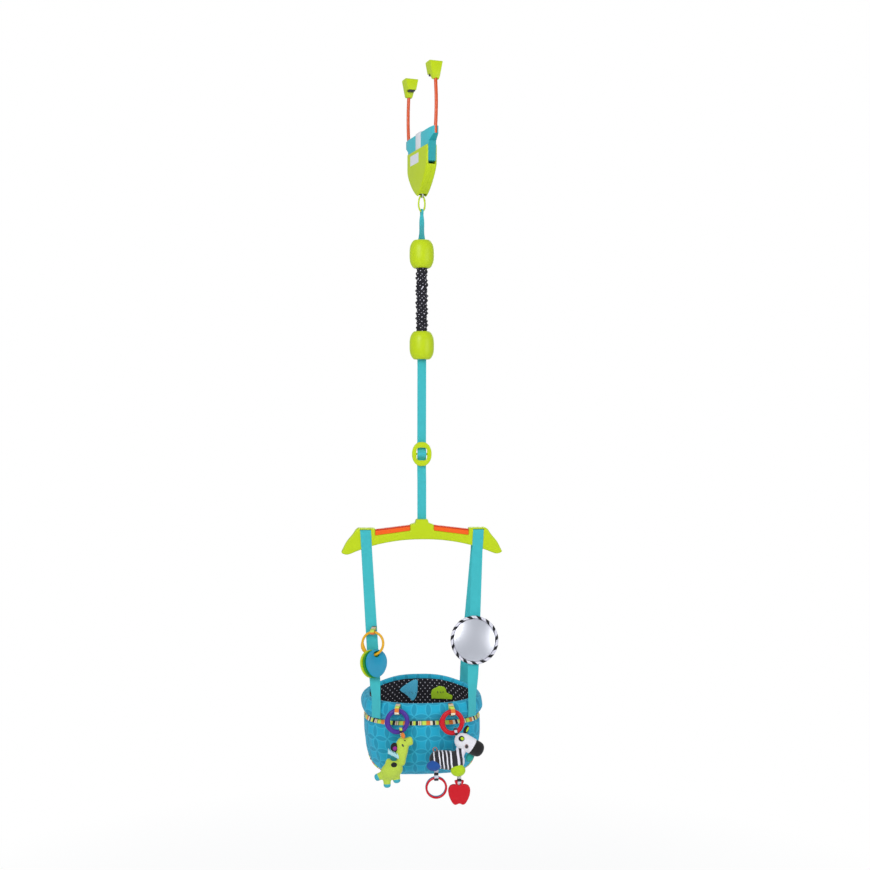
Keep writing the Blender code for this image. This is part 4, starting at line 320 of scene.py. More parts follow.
def zebraCotton(name, start, bands, lean):
    # Cotton knit printed with stripes of uneven width that lean along the body
    material, tree, shader = startMaterial(name, "E8E6EA", 0.85)
    place = addNode(tree, "SeparateXYZ", {}, {"Vector": objectPlace(tree)})
    leaning = mathOf(tree, "MULTIPLY_ADD", place.outputs["Z"], lean, place.outputs["X"])
    wobble = mathOf(tree, "MULTIPLY", noiseOf(tree, objectPlace(tree), 0.02), 0.004)
    length = mathOf(tree, "SUBTRACT", mathOf(tree, "ADD", leaning, wobble), start)
    tree.links.new(bandsOf(tree, length, bands[-1][0], bands[:-1]), shader.inputs["Base Color"])
    tune(shader, {"Sheen Weight": 0.3})
    bumpFrom(tree, shader, noiseOf(tree, objectPlace(tree), 0.0011), 0.0002)
    return material


def splitPile(material, place, normal, hexText):
    # A second dye beyond a seam: the plane through place, on the side that normal points to
    tree = material.node_tree
    shader = tree.nodes["Principled BSDF"]
    colour = shader.inputs["Base Color"].links[0].from_socket
    away = addNode(tree, "VectorMath", {"operation": "SUBTRACT", 1: place}, {0: objectPlace(tree)}).outputs["Vector"]
    beyond = addNode(tree, "VectorMath", {"operation": "DOT_PRODUCT", 1: normal}, {0: away}).outputs["Value"]
    share = mathOf(tree, "GREATER_THAN", beyond, 0.0)
    tree.links.new(mixOf(tree, share, colour, toLinear(hexText)), shader.inputs["Base Color"])
    return material


ribbonBands = [(0.0, "17151A"), (0.0055, "E6D9B8"), (0.008, "B04A28"), (0.0095, "E6D9B8"), (0.012, "7E9A3A"),
               (0.0145, "C8E04A"), (0.0225, "E87A22"), (0.031, "EFE6C8"), (0.036, "17151A"), (0.0415, "E6D9B8"),
               (0.0435, "C8E04A")]
materials = dict(
    lime=mouldedPlastic("lime moulded plastic", "BCD202", 0.40),
    teal=mouldedPlastic("teal moulded plastic", "3FBBC6", 0.42),
    # Painted shade for the lever's face in the housing's side slot
    slotShadeTeal=mouldedPlastic("teal moulded plastic with painted slot shade", "149CA2", 0.44),
    white=mouldedPlastic("white moulded plastic", "DCDEE2", 0.42),
    orange=mouldedPlastic("orange moulded plastic", "F4600F", 0.38),
    # Painted shade for the bar inserts' upward faces
    shadedOrange=mouldedPlastic("orange moulded plastic with painted shade", "D03C0C", 0.38),
    yellow=mouldedPlastic("yellow moulded plastic", "E2A80E", 0.36),
    blue=mouldedPlastic("blue moulded plastic", "038DB0", 0.42),
    green=mouldedPlastic("green moulded plastic", "08861C", 0.40),
    purple=mouldedPlastic("purple moulded plastic", "4A2A92", 0.34),
    red=mouldedPlastic("red moulded plastic", "CC061C", 0.34),
    softRed=mouldedPlastic("soft red teether plastic", "CC0018", 0.42),
    rod=coatedSteel("orange coated steel", "D24A00"),
    zinc=zincSteel("zinc plated steel"),
    rubber=mouldedRubber("dark moulded rubber"),
    # The webbings' second colour is painted shade in the grooves of the weave
    webbing=wovenWebbing("teal polyester webbing", "3CC4CA", "1A98A2", 0.0012),
    whiteWebbing=wovenWebbing("white polyester webbing", "E2E4E6", "A8ABAE", 0.0010),
    cotton=printedCotton("printed teal cotton", 0.029),
    lining=dottedCotton("dotted black cotton", 0.0120, 0.0012, 0.4),
    gathered=dottedCotton("gathered dotted cotton", 0.0112, 0.0011, 1.6),
    ribbon=stripedRibbon("striped jacquard ribbon", 0.049, ribbonBands),
    toyRibbon=stripedRibbon("black and white ribbon", 0.012, [(0.0, "D6D2DE"), (0.006, "141317")]),
    cover=dashedCover("dashed cotton cover", 0.0208, 0.9),
    film=mirrorFilm("coated mirror film"),
    # The terries' second colour is painted shade between the tufts
    blueTerry=pileCloth("blue terry", "62D0F2", "2AA0CC", 0.0013, 0.0005),
    greenTerry=pileCloth("green terry", "B4DC1E", "7CAA10", 0.0013, 0.0005),
)
print("materials:", len(materials))


# Mesh helpers

def inColumns(*parts):
    # Arrays side by side as the last axis of one; a number fills its whole column
    return np.stack(np.broadcast_arrays(*parts), -1)


def fullTurn(count, start=0.0):
    # Even angles round a circle, the first one start steps after 0
    return math.tau * (np.arange(count) + start) / count


def runLength(line, closed):
    # The distance along a line at each point, and back to its start if it is closed
    if closed:
        line = np.vstack([line, line[:1]])
    return np.concatenate([[0.0], np.cumsum(np.linalg.norm(np.diff(line, axis=0), axis=1))])


def shadeRound(mesh):
    # Smooth shading, except where faces meet at more than 42 degrees
    mesh.shade_smooth()
    mesh.set_sharp_from_angle(angle=math.radians(42))


def newPiece(name, mesh, material):
    # An object at the origin, with its place in its mesh
    mesh.materials.append(material)
    shadeRound(mesh)
    piece = bpy.data.objects.new(name, mesh)
    bpy.context.scene.collection.objects.link(piece)
    return piece


def faceOut(mesh):
    # Turns every face of a closed mesh outwards
    shape = bmesh.new()
    shape.from_mesh(mesh)
    bmesh.ops.recalc_face_normals(shape, faces=shape.faces)
    shape.to_mesh(mesh)
    shape.free()


def gridPiece(name, points, material, across=None, along=None, closedAcross=True, closedAlong=False):
    # Joins rows of points into a skin. across and along are UV lengths in metres; open ends are capped
    rows, columns = points.shape[:2]
    rowSpan = rows if closedAlong else rows - 1
    columnSpan = columns if closedAcross else columns - 1
    along = runLength(points[:, 0], closedAlong) if along is None else along
    across = runLength(points[rows // 2], closedAcross) if across is None else across
    v = np.broadcast_to(along if np.ndim(along) == 2 else np.asarray(along)[:, None], (rowSpan + 1, columnSpan + 1))
    u = np.broadcast_to(across, (rowSpan + 1, columnSpan + 1))
    i, j = np.meshgrid(np.arange(rowSpan), np.arange(columnSpan), indexing="ij")
    nextRow, nextColumn = (i + 1) % rows, (j + 1) % columns
    quads = inColumns(i * columns + j, i * columns + nextColumn, nextRow * columns + nextColumn,
                      nextRow * columns + j).reshape(-1, 4)
    corners = [(i, j), (i, j + 1), (i + 1, j + 1), (i + 1, j)]
    uv = np.stack([inColumns(u[c], v[c]) for c in corners], -2).reshape(-1, 2)
    faces = quads.tolist()
    if closedAcross and not closedAlong:
        faces += [list(range(columns)), list(range((rows - 1) * columns, rows * columns))]
        uv = np.concatenate([uv, inColumns(u[0, :-1], v[0, :-1]), inColumns(u[-1, :-1], v[-1, :-1])])
    mesh = bpy.data.meshes.new(name)
    mesh.from_pydata(points.reshape(-1, 3).tolist(), [], faces)
    mesh.uv_layers.new(name="UVMap").data.foreach_set("uv", uv.astype(np.float32).ravel())
    faceOut(mesh)
    return newPiece(name, mesh, material)


def resample(rows, step, passes=0):
    # Rows, each starting with a place, spread evenly along their path; each pass averages neighbours 1:2:1
    rows = np.asarray(rows, float)
    run = runLength(rows[:, :3], False)
    at = np.linspace(0, run[-1], max(3, int(run[-1] / step) + 1))
    even = inColumns(*(np.interp(at, run, column) for column in rows.T))
    for _ in range(passes):
        even[1:-1] = (even[:-2] + 2 * even[1:-1] + even[2:]) / 4
    return even


def evenPairs(pairs, step, passes=0):
    # The same for a line in one plane
    return resample(inColumns(pairs[:, 0], 0, pairs[:, 1]), step, passes)[:, [0, 2]]


def signedPower(value, power):
    # sgn(value) x |value|^power: under 1 it swells a circle's sine and cosine towards a square
    return np.sign(value) * np.abs(value) ** power


def catmullRom(p0, p1, p2, p3, share):
    # From p1 to p2 in share steps: the cubic whose slopes are half of p2 - p0 and of p3 - p1
    t = (np.arange(share) / share)[:, None]
    return 0.5 * (2 * p1 + (p2 - p0) * t + (2 * p0 - 5 * p1 + 4 * p2 - p3) * t ** 2
                  + (3 * p1 - p0 - 3 * p2 + p3) * t ** 3)


def smoothLoop(points, share):
    # Closed Catmull-Rom curve through each row's points, with share samples between two of them
    curve = catmullRom(*(np.roll(points, 1 - k, axis=-2)[..., None, :] for k in range(4)), share)
    return curve.reshape(*points.shape[:-2], -1, points.shape[-1])


def smoothLine(points, share):
    # Open Catmull-Rom curve through points, with share samples between two of them
    points = np.asarray(points, float)
    padded = np.vstack([2 * points[0] - points[1], points, 2 * points[-1] - points[-2]])
    curve = catmullRom(*(padded[k:len(padded) - 3 + k, None] for k in range(4)), share)
    return np.vstack([curve.reshape(-1, points.shape[1]), points[-1]])


def arcLine(centre, radius, startDeg, endDeg, steps):
    # Pairs on an arc: centre + radius x (cos, sin)
    angle = np.radians(np.linspace(startDeg, endDeg, steps + 1))
    return inColumns(centre[0] + radius * np.cos(angle), centre[1] + radius * np.sin(angle))


def pathAhead(path, closed):
    # Unit steps along a path: from the point before to the point after
    ahead = np.roll(path, -1, 0) - np.roll(path, 1, 0)
    if not closed:
        ahead[0], ahead[-1] = path[1] - path[0], path[-1] - path[-2]
    return ahead / np.linalg.norm(ahead, axis=1)[:, None]


def strapPiece(name, rows, thickness, material, closed=False):
    # A flat strap: rows hold place, half width and the angle of its width about Z. Section: a flat oval
    place, half, angle = rows[:, :3], rows[:, 3], rows[:, 4]
    ahead = pathAhead(place, closed)
    wide = inColumns(np.cos(angle), np.sin(angle), 0)
    normal = np.cross(ahead, wide)
    normal /= np.linalg.norm(normal, axis=1)[:, None]
    turn = fullTurn(16, 0.5)
    a, b = signedPower(np.cos(turn), 0.35), signedPower(np.sin(turn), 0.7)
    points = (place[:, None] + (half[:, None] * a)[..., None] * wide[:, None]
              + (thickness / 2 * b)[None, :, None] * normal[:, None])
    across = half[:, None] * np.append(a, a[0])
    if closed:
        across = np.vstack([across, across[:1]])
    return gridPiece(name, points, material, across, runLength(place, closed), True, closed)


def tubePiece(name, path, radius, material, sides=24, closed=False, flat=(0.0, 1.0, 0.0)):
    # A round wire along a path, with a radius at each point; flat is square to the path's plane
    ahead = pathAhead(path, closed)
    side = np.asarray(flat) - ahead * (ahead @ np.asarray(flat))[:, None]
    side /= np.linalg.norm(side, axis=1)[:, None]
    other = np.cross(ahead, side)
    turn = fullTurn(sides)
    around = np.cos(turn)[None, :, None] * side[:, None] + np.sin(turn)[None, :, None] * other[:, None]
    points = path[:, None] + np.broadcast_to(radius, len(path))[:, None, None] * around
    return gridPiece(name, points, material, None, None, True, closed)


def insetOf(outline, distance):
    # A counterclockwise outline moved inwards along its normals. Points that come too close to it, at tight
    # corners, are spread evenly between their good neighbours, so that the loop never crosses itself
    ahead = pathAhead(outline, True)
    moved = outline + distance * inColumns(-ahead[:, 1], ahead[:, 0])
    nearest = np.linalg.norm(moved[:, None] - outline[None], axis=2).min(1)
    kept = np.flatnonzero(nearest >= abs(distance) * 0.985)
    index = np.arange(len(outline))
    return inColumns(*(np.interp(index, kept, column[kept], period=len(outline)) for column in moved.T))


def layeredPiece(name, layers, place, material, closedAlong=False):
    # A skin over outlines at depths; place turns (a, b, depth) into points
    points = np.stack([place(*outline.T, depth) for outline, depth in layers])
    return gridPiece(name, points, material, None, None, True, closedAlong)


def rimLayers(outline, face, edge, steps, sign=1):
    # From a slab's side round a quarter circle of radius edge to its face; sign is -1 for its lower face
    angle = np.linspace(0, math.pi / 2, steps)
    return [(insetOf(outline, edge * (1 - math.cos(t))), face - sign * edge * (1 - math.sin(t))) for t in angle]


def roundedLayers(outline, low, high, edge, steps=5):
    # A slab from low to high whose two rims are quarter circles of radius edge
    return rimLayers(outline, low, edge, steps, -1)[::-1] + rimLayers(outline, high, edge, steps)


def ringLayers(hole, flare, lip, rim, half, edge, steps):
    # A slab with a hole, 2 x half thick: the hole widens by flare over its lip, and the rim is rounded by edge
    layers = [(hole * flare, -half), (hole, -half + lip), (hole, half - lip), (hole * flare, half)]
    return layers + roundedLayers(rim, -half, half, edge, steps)[::-1]


def shellLayers(outline, depth, wall, edge):
    # Half of a hollow case that is depth deep: its inner face, its open side at the parting, its rounded rim
    inner, half = insetOf(outline, wall), depth / 2
    return [(inner, half - wall), (inner, gap / 2), (outline, gap / 2), *rimLayers(outline, half, edge, 8)]


def settle(piece):
    # Gives a piece the mesh that its modifiers make
    graph = bpy.context.evaluated_depsgraph_get()
    mesh = bpy.data.meshes.new_from_object(piece.evaluated_get(graph))
    piece.modifiers.clear()
    piece.data = mesh
    shadeRound(mesh)


def combine(piece, tools, operation="DIFFERENCE"):
    # Cuts the tools from the piece, or joins them to it, and removes them
    for tool in tools:
        modifier = piece.modifiers.new("tool", "BOOLEAN")
        modifier.operation = operation
        modifier.solver = "EXACT"
        modifier.object = tool
    settle(piece)
    for tool in tools:
        bpy.data.objects.remove(tool, do_unlink=True)


def boxPiece(name, low, high, material, turn=None):
    # A block between two corners, turned about the origin
    x, y, z = zip(low, high)
    points = np.array([[(a, b, c) for a, b in ((x[0], y[0]), (x[1], y[0]), (x[1], y[1]), (x[0], y[1]))] for c in z])
    if turn is not None:
        points = points @ np.array(turn.to_3x3()).T
    return gridPiece(name, points, material)


def rodPiece(name, start, end, radius, material, sides=48):
    # A straight round rod; its first side lies square to one fixed direction
    start, end = np.asarray(start, float), np.asarray(end, float)
    flat = np.cross(end - start, (0.31, 0.77, 0.55))
    return tubePiece(name, np.stack([start, end]), radius, material, sides, False, flat / np.linalg.norm(flat))


def refined(node, name, material, width, segments=3):
    # A copy of a CAD node with its doubled points merged and its edges rounded
    mesh = nodes[node].data.copy()
    mesh.materials.clear()
    shape = bmesh.new()
    shape.from_mesh(mesh)
    bmesh.ops.remove_doubles(shape, verts=shape.verts, dist=0.000002)
    bmesh.ops.dissolve_limit(shape, angle_limit=math.radians(1), verts=shape.verts, edges=shape.edges)
    bmesh.ops.recalc_face_normals(shape, faces=shape.faces)
    shape.to_mesh(mesh)
    shape.free()
    piece = newPiece(name, mesh, material)
    bevel = piece.modifiers.new("edges", "BEVEL")
    bevel.width = width
    bevel.segments = segments
    bevel.limit_method = "ANGLE"
    bevel.angle_limit = math.radians(32)
    settle(piece)
    return piece


def dress(piece, body, slotName, node):
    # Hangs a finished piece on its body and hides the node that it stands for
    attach(piece, body)
    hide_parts(node)


def dressAcross(piece, node):
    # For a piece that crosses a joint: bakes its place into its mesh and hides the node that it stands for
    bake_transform(piece)
    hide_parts(node)


def faceNormals(piece):
    # One row for each face
    normals = np.zeros(len(piece.data.polygons) * 3)
    piece.data.polygons.foreach_get("normal", normals)
    return normals.reshape(-1, 3)


def paintFaces(piece, material, chosen):
    # Gives the chosen faces a second material
    piece.data.materials.append(material)
    piece.data.polygons.foreach_set("material_index", chosen.astype(np.int32))


def inflate(piece, reach):
    # Fills a sewn piece: cloth under pressure without gravity, and no point moves further than reach
    steps = 12
    start = np.zeros(len(piece.data.vertices) * 3)
    piece.data.vertices.foreach_get("co", start)
    start = start.reshape(-1, 3)
    cloth = piece.modifiers.new("filling", "CLOTH")
    cloth.settings.quality = 6
    cloth.settings.mass = 0.02
    cloth.settings.tension_stiffness = 12.0
    cloth.settings.compression_stiffness = 12.0
    cloth.settings.bending_stiffness = 0.2
    cloth.settings.use_pressure = True
    cloth.settings.uniform_pressure_force = 4.0
    cloth.settings.effector_weights.gravity = 0.0
    cloth.point_cache.frame_start = 1
    cloth.point_cache.frame_end = steps
    for step in range(1, steps + 1):
        bpy.context.scene.frame_set(step)
    graph = bpy.context.evaluated_depsgraph_get()
    filled = piece.evaluated_get(graph).to_mesh()
    moved = np.zeros(len(start) * 3)
    filled.vertices.foreach_get("co", moved)
    piece.evaluated_get(graph).to_mesh_clear()
    piece.modifiers.clear()
    shift = moved.reshape(-1, 3) - start
    far = np.linalg.norm(shift, axis=1, keepdims=True)
    shift *= np.minimum(far, reach) / np.maximum(far, 1e-9)
    piece.data.vertices.foreach_set("co", (start + shift).ravel())
    piece.data.update()
    bpy.context.scene.frame_set(1)
    print(piece.name, "filled: mean", round(float(np.linalg.norm(shift, axis=1).mean()) * 1000, 2), "mm")


def stuffedPiece(name, forms, material, voxel=0.0020, smoothing=3):
    # Stuffed forms joined into one soft body, filled by inflate and divided once. Each form is (start, end,
    # width shares, width, depth): oval rings whose size follows the shares and closes as sqrt(1 - (2t - 1)^6)
    shape = bmesh.new()
    for start, end, shares, width, depth in forms:
        start, end = np.asarray(start, float), np.asarray(end, float)
        t = (1 - np.cos(math.pi * np.linspace(0, 1, 25))) / 2
        size = np.interp(t, np.linspace(0, 1, len(shares)), shares)
        size *= np.sqrt(np.maximum(1 - (2 * t - 1) ** 6, 0.01))
        ahead = (end - start) / np.linalg.norm(end - start)
        deep = np.array([0.0, -1.0, 0.0]) - ahead * -ahead[1]
        deep /= np.linalg.norm(deep)
        wide = np.cross(ahead, deep)
        turn = fullTurn(24)
        around = (width / 2 * np.cos(turn)[:, None] * wide + depth / 2 * np.sin(turn)[:, None] * deep)
        points = start + t[:, None, None] * (end - start) + size[:, None, None] * around
        part = gridPiece("form", points, material)
        shape.from_mesh(part.data)
        bpy.data.objects.remove(part, do_unlink=True)
    mesh = bpy.data.meshes.new(name)
    shape.to_mesh(mesh)
    shape.free()
    piece = newPiece(name, mesh, material)
    remesh = piece.modifiers.new("remesh", "REMESH")
    remesh.mode = "VOXEL"
    remesh.voxel_size = voxel
    smooth = piece.modifiers.new("smooth", "SMOOTH")
    smooth.iterations = smoothing
    smooth.factor = 0.6
    settle(piece)
    inflate(piece, 0.0012)
    finer = piece.modifiers.new("finer", "SUBSURF")
    finer.levels = 1
    finer.render_levels = 1
    settle(piece)
    return piece


def ballPiece(name, centre, sizes, material, tiltDeg=0.0, rows=20, columns=28):
    # An ellipsoid, turned about Y: sizes are its half lengths
    lift = np.linspace(-math.pi / 2, math.pi / 2, rows)[1:-1, None]
    turn = fullTurn(columns)
    points = inColumns(sizes[0] * np.cos(lift) * np.cos(turn), sizes[1] * np.cos(lift) * np.sin(turn),
                       sizes[2] * np.sin(lift))
    points = points @ np.array(Matrix.Rotation(math.radians(tiltDeg), 3, "Y")).T + np.asarray(centre)
    return gridPiece(name, points, material)


# Door clamp. In its own frame X runs along the wall and Y through it

clamp = dict(turnDeg=16.5, width=0.128, height=0.105, straight=0.042, depth=0.025, wall=0.0025, edge=0.004,
             leverWidth=0.017, leverBlade=0.073, leverRoom=0.0055, mouthWidth=0.020, mouthDepth=0.018,
             mouthHeight=0.0145, rodRadius=0.0038, rodBow=0.004, rodSeat=0.016, lipDrop=0.0115,
             armReach=0.089, armTip=0.011, ringWire=0.0019, ringHalfWidth=0.0075, ringLength=0.036)
clampTurn = Matrix.Rotation(math.radians(clamp["turnDeg"]), 4, "Z")
clampAxes = np.array(clampTurn.to_3x3())


def housingOutline():
    # Straight at the top, then x = half cos(t)^1.54 and z falls by drop sin(t)^1.48
    half, straight = clamp["width"] / 2, level["housingTop"] - clamp["straight"]
    drop = clamp["height"] - clamp["straight"]
    t = np.linspace(0, math.pi / 2, 48)
    curve = inColumns(half * np.cos(t) ** (2 / 1.3), straight - drop * np.sin(t) ** (2 / 1.35))
    right = np.vstack([inColumns(half, np.linspace(level["housingTop"], straight, 11)[:-1]), curve])
    return evenPairs(np.vstack([right[:-1] * (-1, 1), right[::-1]]), 0.0014)


def clampBox(low, high):
    # A cutter in the clamp's own frame
    return boxPiece("cutter", low, high, materials["lime"], clampTurn)


def dressHousing():
    # Two half shells, cut open at the top for the levers, at the bottom for the ring, and at both sides
    layers = shellLayers(housingOutline(), clamp["depth"], clamp["wall"], clamp["edge"])
    throat = clamp["depth"] / 2 - clamp["wall"] - gap
    lever = clamp["leverWidth"] / 2 + gap
    top, wide, foot = level["housingTop"], clamp["width"], level["housingTop"] - clamp["height"]
    mouthWide, mouthDeep, mouthTop = clamp["mouthWidth"] / 2, clamp["mouthDepth"] / 2, foot + clamp["mouthHeight"]
    low = level["armTop"] - clamp["leverBlade"] - clamp["leverRoom"]
    for sign, node in ((-1, "clamp_housing_left"), (1, "clamp_housing_right")):
        def place(a, b, depth):
            return inColumns(sign * depth, a, b) @ clampAxes.T
        piece = layeredPiece(node + "_look", layers, place, materials["lime"])
        cutters = [clampBox((-throat, -wide, top - 0.005), (throat, wide, top + 0.01)),
                   clampBox((-mouthDeep, -mouthWide, foot - 0.01), (mouthDeep, mouthWide, mouthTop))]
        for side in (-1, 1):
            ends = sorted((side * (wide / 2 - 0.005), side * (wide / 2 + 0.01)))
            cutters.append(clampBox((-lever, ends[0], low), (lever, ends[1], top + 0.01)))
        combine(piece, cutters)
        dress(piece, "clamp", "lime_plastic", node)


def shadeTongueInSlot(piece, sign):
    # The lever's outer face below its shoulder, which lies in the housing's side slot, gets a darker teal: painted
    # shade
    centres = np.zeros(len(piece.data.polygons) * 3)
    piece.data.polygons.foreach_get("center", centres)
    outward = sign * (faceNormals(piece) @ clampAxes[:, 1])
    below = centres[2::3] < level["housingTop"] + 0.016
    paintFaces(piece, materials["slotShadeTeal"], (outward > 0.35) & below)


def dressLabel():
    # A bare white label, 0.2 mm thick, on the housing's wide face
    out = clamp["depth"] / 2
    piece = boxPiece("blank_label", (-out - 0.0002, -0.012, level["housingTop"] - 0.031),
                     (-out + 0.0003, 0.041, level["housingTop"] - 0.009), materials["white"], clampTurn)
    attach(piece, "clamp")


def dressArms():
    # Rods that bow out by bow x sin(pi x share of their rise), with the claws, pads and levers of the CAD, eased
    path = np.zeros((60, 3))
    low, high = level["armTop"] - clamp["rodSeat"] + gap, -clamp["lipDrop"] + clamp["rodSeat"] - gap
    path[:, 2] = np.linspace(low, high, 60)
    rise = (path[:, 2] - level["armTop"]) / (-clamp["lipDrop"] - level["armTop"])
    for sign, side in ((-1, "near"), (1, "far")):
        bow = clamp["rodBow"] * np.sin(math.pi * np.clip(rise, 0, 1))
        path[:, 1] = sign * (clamp["armReach"] - clamp["armTip"] / 4 + bow)
        rod = tubePiece(f"arm_rod_{side}_look", path @ clampAxes.T, clamp["rodRadius"], materials["rod"], 28, False,
                        clampAxes[:, 0])
        dress(rod, f"{side}_arm", "coated_rod", f"arm_rod_{side}")
        for part, key, slotName, width in (("claw", "lime", "lime_plastic", 0.0032),
                                           ("grip_pad", "rubber", "dark_rubber", 0.0006),
                                           ("arm_lever", "teal", "teal_plastic", 0.0012)):
            piece = refined(f"{part}_{side}", f"{part}_{side}_look", materials[key], width, 4)
            if part == "arm_lever":
                # The lever's face in the side slot gets painted shade
                shadeTongueInSlot(piece, sign)
            dress(piece, f"{side}_arm", slotName, f"{part}_{side}")


def dressLoadRing():
    # Width = half (1 - 0.08 cos t), a little wider at the bottom; the wire swells by 22 % at both ends of its gate
    turn = fullTurn(96)
    width = clamp["ringHalfWidth"] * (1 - 0.08 * np.cos(turn))
    z = level["ringTop"] - clamp["ringLength"] / 2 * (1 - np.cos(turn))
    ring = inColumns(width * np.sin(turn), 0, z)
    wire = clamp["ringWire"] * (1 + sum(0.22 * np.exp(-((turn - end) / 0.10) ** 2) for end in (1.15, 2.2)))
    piece = tubePiece("load_ring_look", ring @ clampAxes.T, wire, materials["lime"], 18, True, clampAxes[:, 1])
    dress(piece, "load_ring_body", "lime_plastic", "load_ring")


dressHousing()
dressLabel()
dress(refined("clamp_band", "clamp_band_look", materials["white"], 0.0008), "clamp", "white_plastic", "clamp_band")
dressArms()
dress(refined("pull_yoke", "pull_yoke_look", materials["zinc"], 0.0003), "yoke", "zinc_steel", "pull_yoke")
dressLoadRing()
print("clamp dressed")

# Webbing from the load ring to the seat, and the bounce unit

web = dict(thickness=0.0013, width=0.020, layerGap=0.0004, ringWidth=0.0044, pin=0.003, pinFold=0.0072,
           safetyWidth=0.0050, safetyThickness=0.0012, pinRoom=0.0006, hangerLength=0.091, twistDeg=50.0)


def loopLine(top, topRadius, bottom, bottomRadius, neck):
    # A closed strap's side view round an upper and a lower bar, its layers close together between them
    above = arcLine((0, top), topRadius, -30, 210, 30)
    below = arcLine((0, bottom), bottomRadius, 150, 390, 30)
    left = np.array([(-neck, top - topRadius * 1.6), (-neck, bottom + bottomRadius * 1.6)])
    right = left[::-1] * (-1, 1)
    return np.vstack([above, left, below, right, above[:1]])


def foldAtPin(z, pinZ):
    # The webbing narrows to its fold and moves aside near a pin
    share = np.clip((np.abs(z - pinZ) / 0.026 - 0.30) / 0.45, 0, 1)
    width = web["pinFold"] + (web["width"] - web["pinFold"]) * share
    return width, -(web["safetyWidth"] + web["pinRoom"]) / 2 * (1 - share)


def dressHanger():
    # A loop from the load ring to the upper pin: it turns from the clamp's direction to the unit's, with a twist
    half = web["thickness"] / 2
    ringRadius, pinRadius = clamp["ringWire"] + half + 0.0027, web["pin"] + half + gap
    side = loopLine(level["ringBottom"], ringRadius, level["upperPin"], pinRadius, half + web["layerGap"] / 2)
    across, z = evenPairs(side, 0.0012)[:-1].T
    share = np.clip((level["ringBottom"] - z) / web["hangerLength"], 0, 1)
    angle = np.radians(clamp["turnDeg"] * (1 - share) + web["twistDeg"] * np.sin(math.pi * share) ** 2)
    folded, shift = foldAtPin(z, level["upperPin"])
    width = np.minimum(web["ringWidth"] + (web["width"] - web["ringWidth"]) * np.minimum(share * 2.2, 1), folded)
    rows = inColumns(-np.sin(angle) * across + np.cos(angle) * shift, np.cos(angle) * across + np.sin(angle) * shift,
                     z, width / 2, angle)
    piece = strapPiece("hanger_strap_look", rows, web["thickness"], materials["webbing"], True)
    dressAcross(piece,
                "hanger_strap")


cap = dict(height=0.0625, radius=0.0275, neck=0.0185, wall=0.0028, strapHole=0.0107, sleeveHole=0.0136)


def capSection(sleeveEnd, strapEnd):
    # Barrel: radius = R - (R - neck) |t|^3.2 from end to end, with rims rounded by 1.2 mm and the wall inside
    span, rim = strapEnd - sleeveEnd, 0.0012
    t = np.linspace(-1, 1, 40)
    barrel = cap["radius"] - (cap["radius"] - cap["neck"]) * np.abs(t) ** 3.2
    outer = inColumns(barrel, sleeveEnd + span * (1 + t) / 2)
    sign = math.copysign(1.0, span)
    outer = outer[(outer[:, 1] - sleeveEnd) * sign > rim]
    outer = outer[(strapEnd - outer[:, 1]) * sign > rim]
    turn = np.radians(np.linspace(0, 90, 6))
    first = inColumns(cap["neck"] - rim + rim * np.sin(turn), sleeveEnd + sign * rim * (1 - np.cos(turn)))
    last = inColumns(cap["neck"] - rim + rim * np.cos(turn), strapEnd - sign * rim * (1 - np.sin(turn)))
    share = cap["wall"] / abs(span) * 2
    inner = inColumns(barrel - cap["wall"], sleeveEnd + span * (1 + t * (1 - share)) / 2)
    wall, sleeveHole, strapHole = sign * cap["wall"], cap["sleeveHole"], cap["strapHole"]
    return np.vstack([[(sleeveHole, sleeveEnd)], first, outer, last, [(strapHole, strapEnd)],
                      [(strapHole, strapEnd - wall)], inner[::-1], [(sleeveHole, sleeveEnd + wall)]])


def dressCaps():
    # Each half is the section turned through 180 degrees
    for name, sleeveEnd, strapEnd in (("upper", level["upperCapBottom"], level["upperCapTop"]),
                                      ("lower", level["lowerCapTop"], level["lowerCapBottom"])):
        section = capSection(sleeveEnd, strapEnd)
        for half, startDeg, sign in (("front", 180, -1), ("rear", 0, 1)):
            turn = np.radians(np.linspace(startDeg, startDeg + 180, 61))[:, None]
            radius, z = section.T
            points = inColumns(radius * np.cos(turn), radius * np.sin(turn) + sign * gap / 2, z)
            piece = gridPiece(f"{name}_cap_{half}_look", points, materials["lime"])
            dress(piece, f"{name}_cap", "lime_plastic", f"{name}_cap_{half}")


def dressSpring():
    # One helix, z stepping as the part's: flat end turns on the pins and 12 even turns between
    wire, radius, turns = 0.0011, 0.0088, 14
    clear = web["pin"] + wire + gap
    turn = np.linspace(0, turns, turns * 36 + 1)
    first, last = level["upperPin"] - clear, level["lowerPin"] + clear
    z = np.interp(turn, [0, 0.5, 1, turns - 1, turns - 0.5, turns],
                  [first + 2 * clear, first + 2 * clear, first, last, last - 2 * clear, last - 2 * clear])
    path = inColumns(radius * np.cos(math.tau * turn), radius * np.sin(math.tau * turn), z)
    piece = tubePiece("bounce_spring_look", path, wire, materials["zinc"], 10, False, (0.0, 0.0, 1.0))
    dressAcross(piece,
                "bounce_spring")


sleeve = dict(radius=0.0120, ruffle=0.0029, wall=0.0010, tuck=0.0030, inner=0.0102, meanRadius=0.0128)


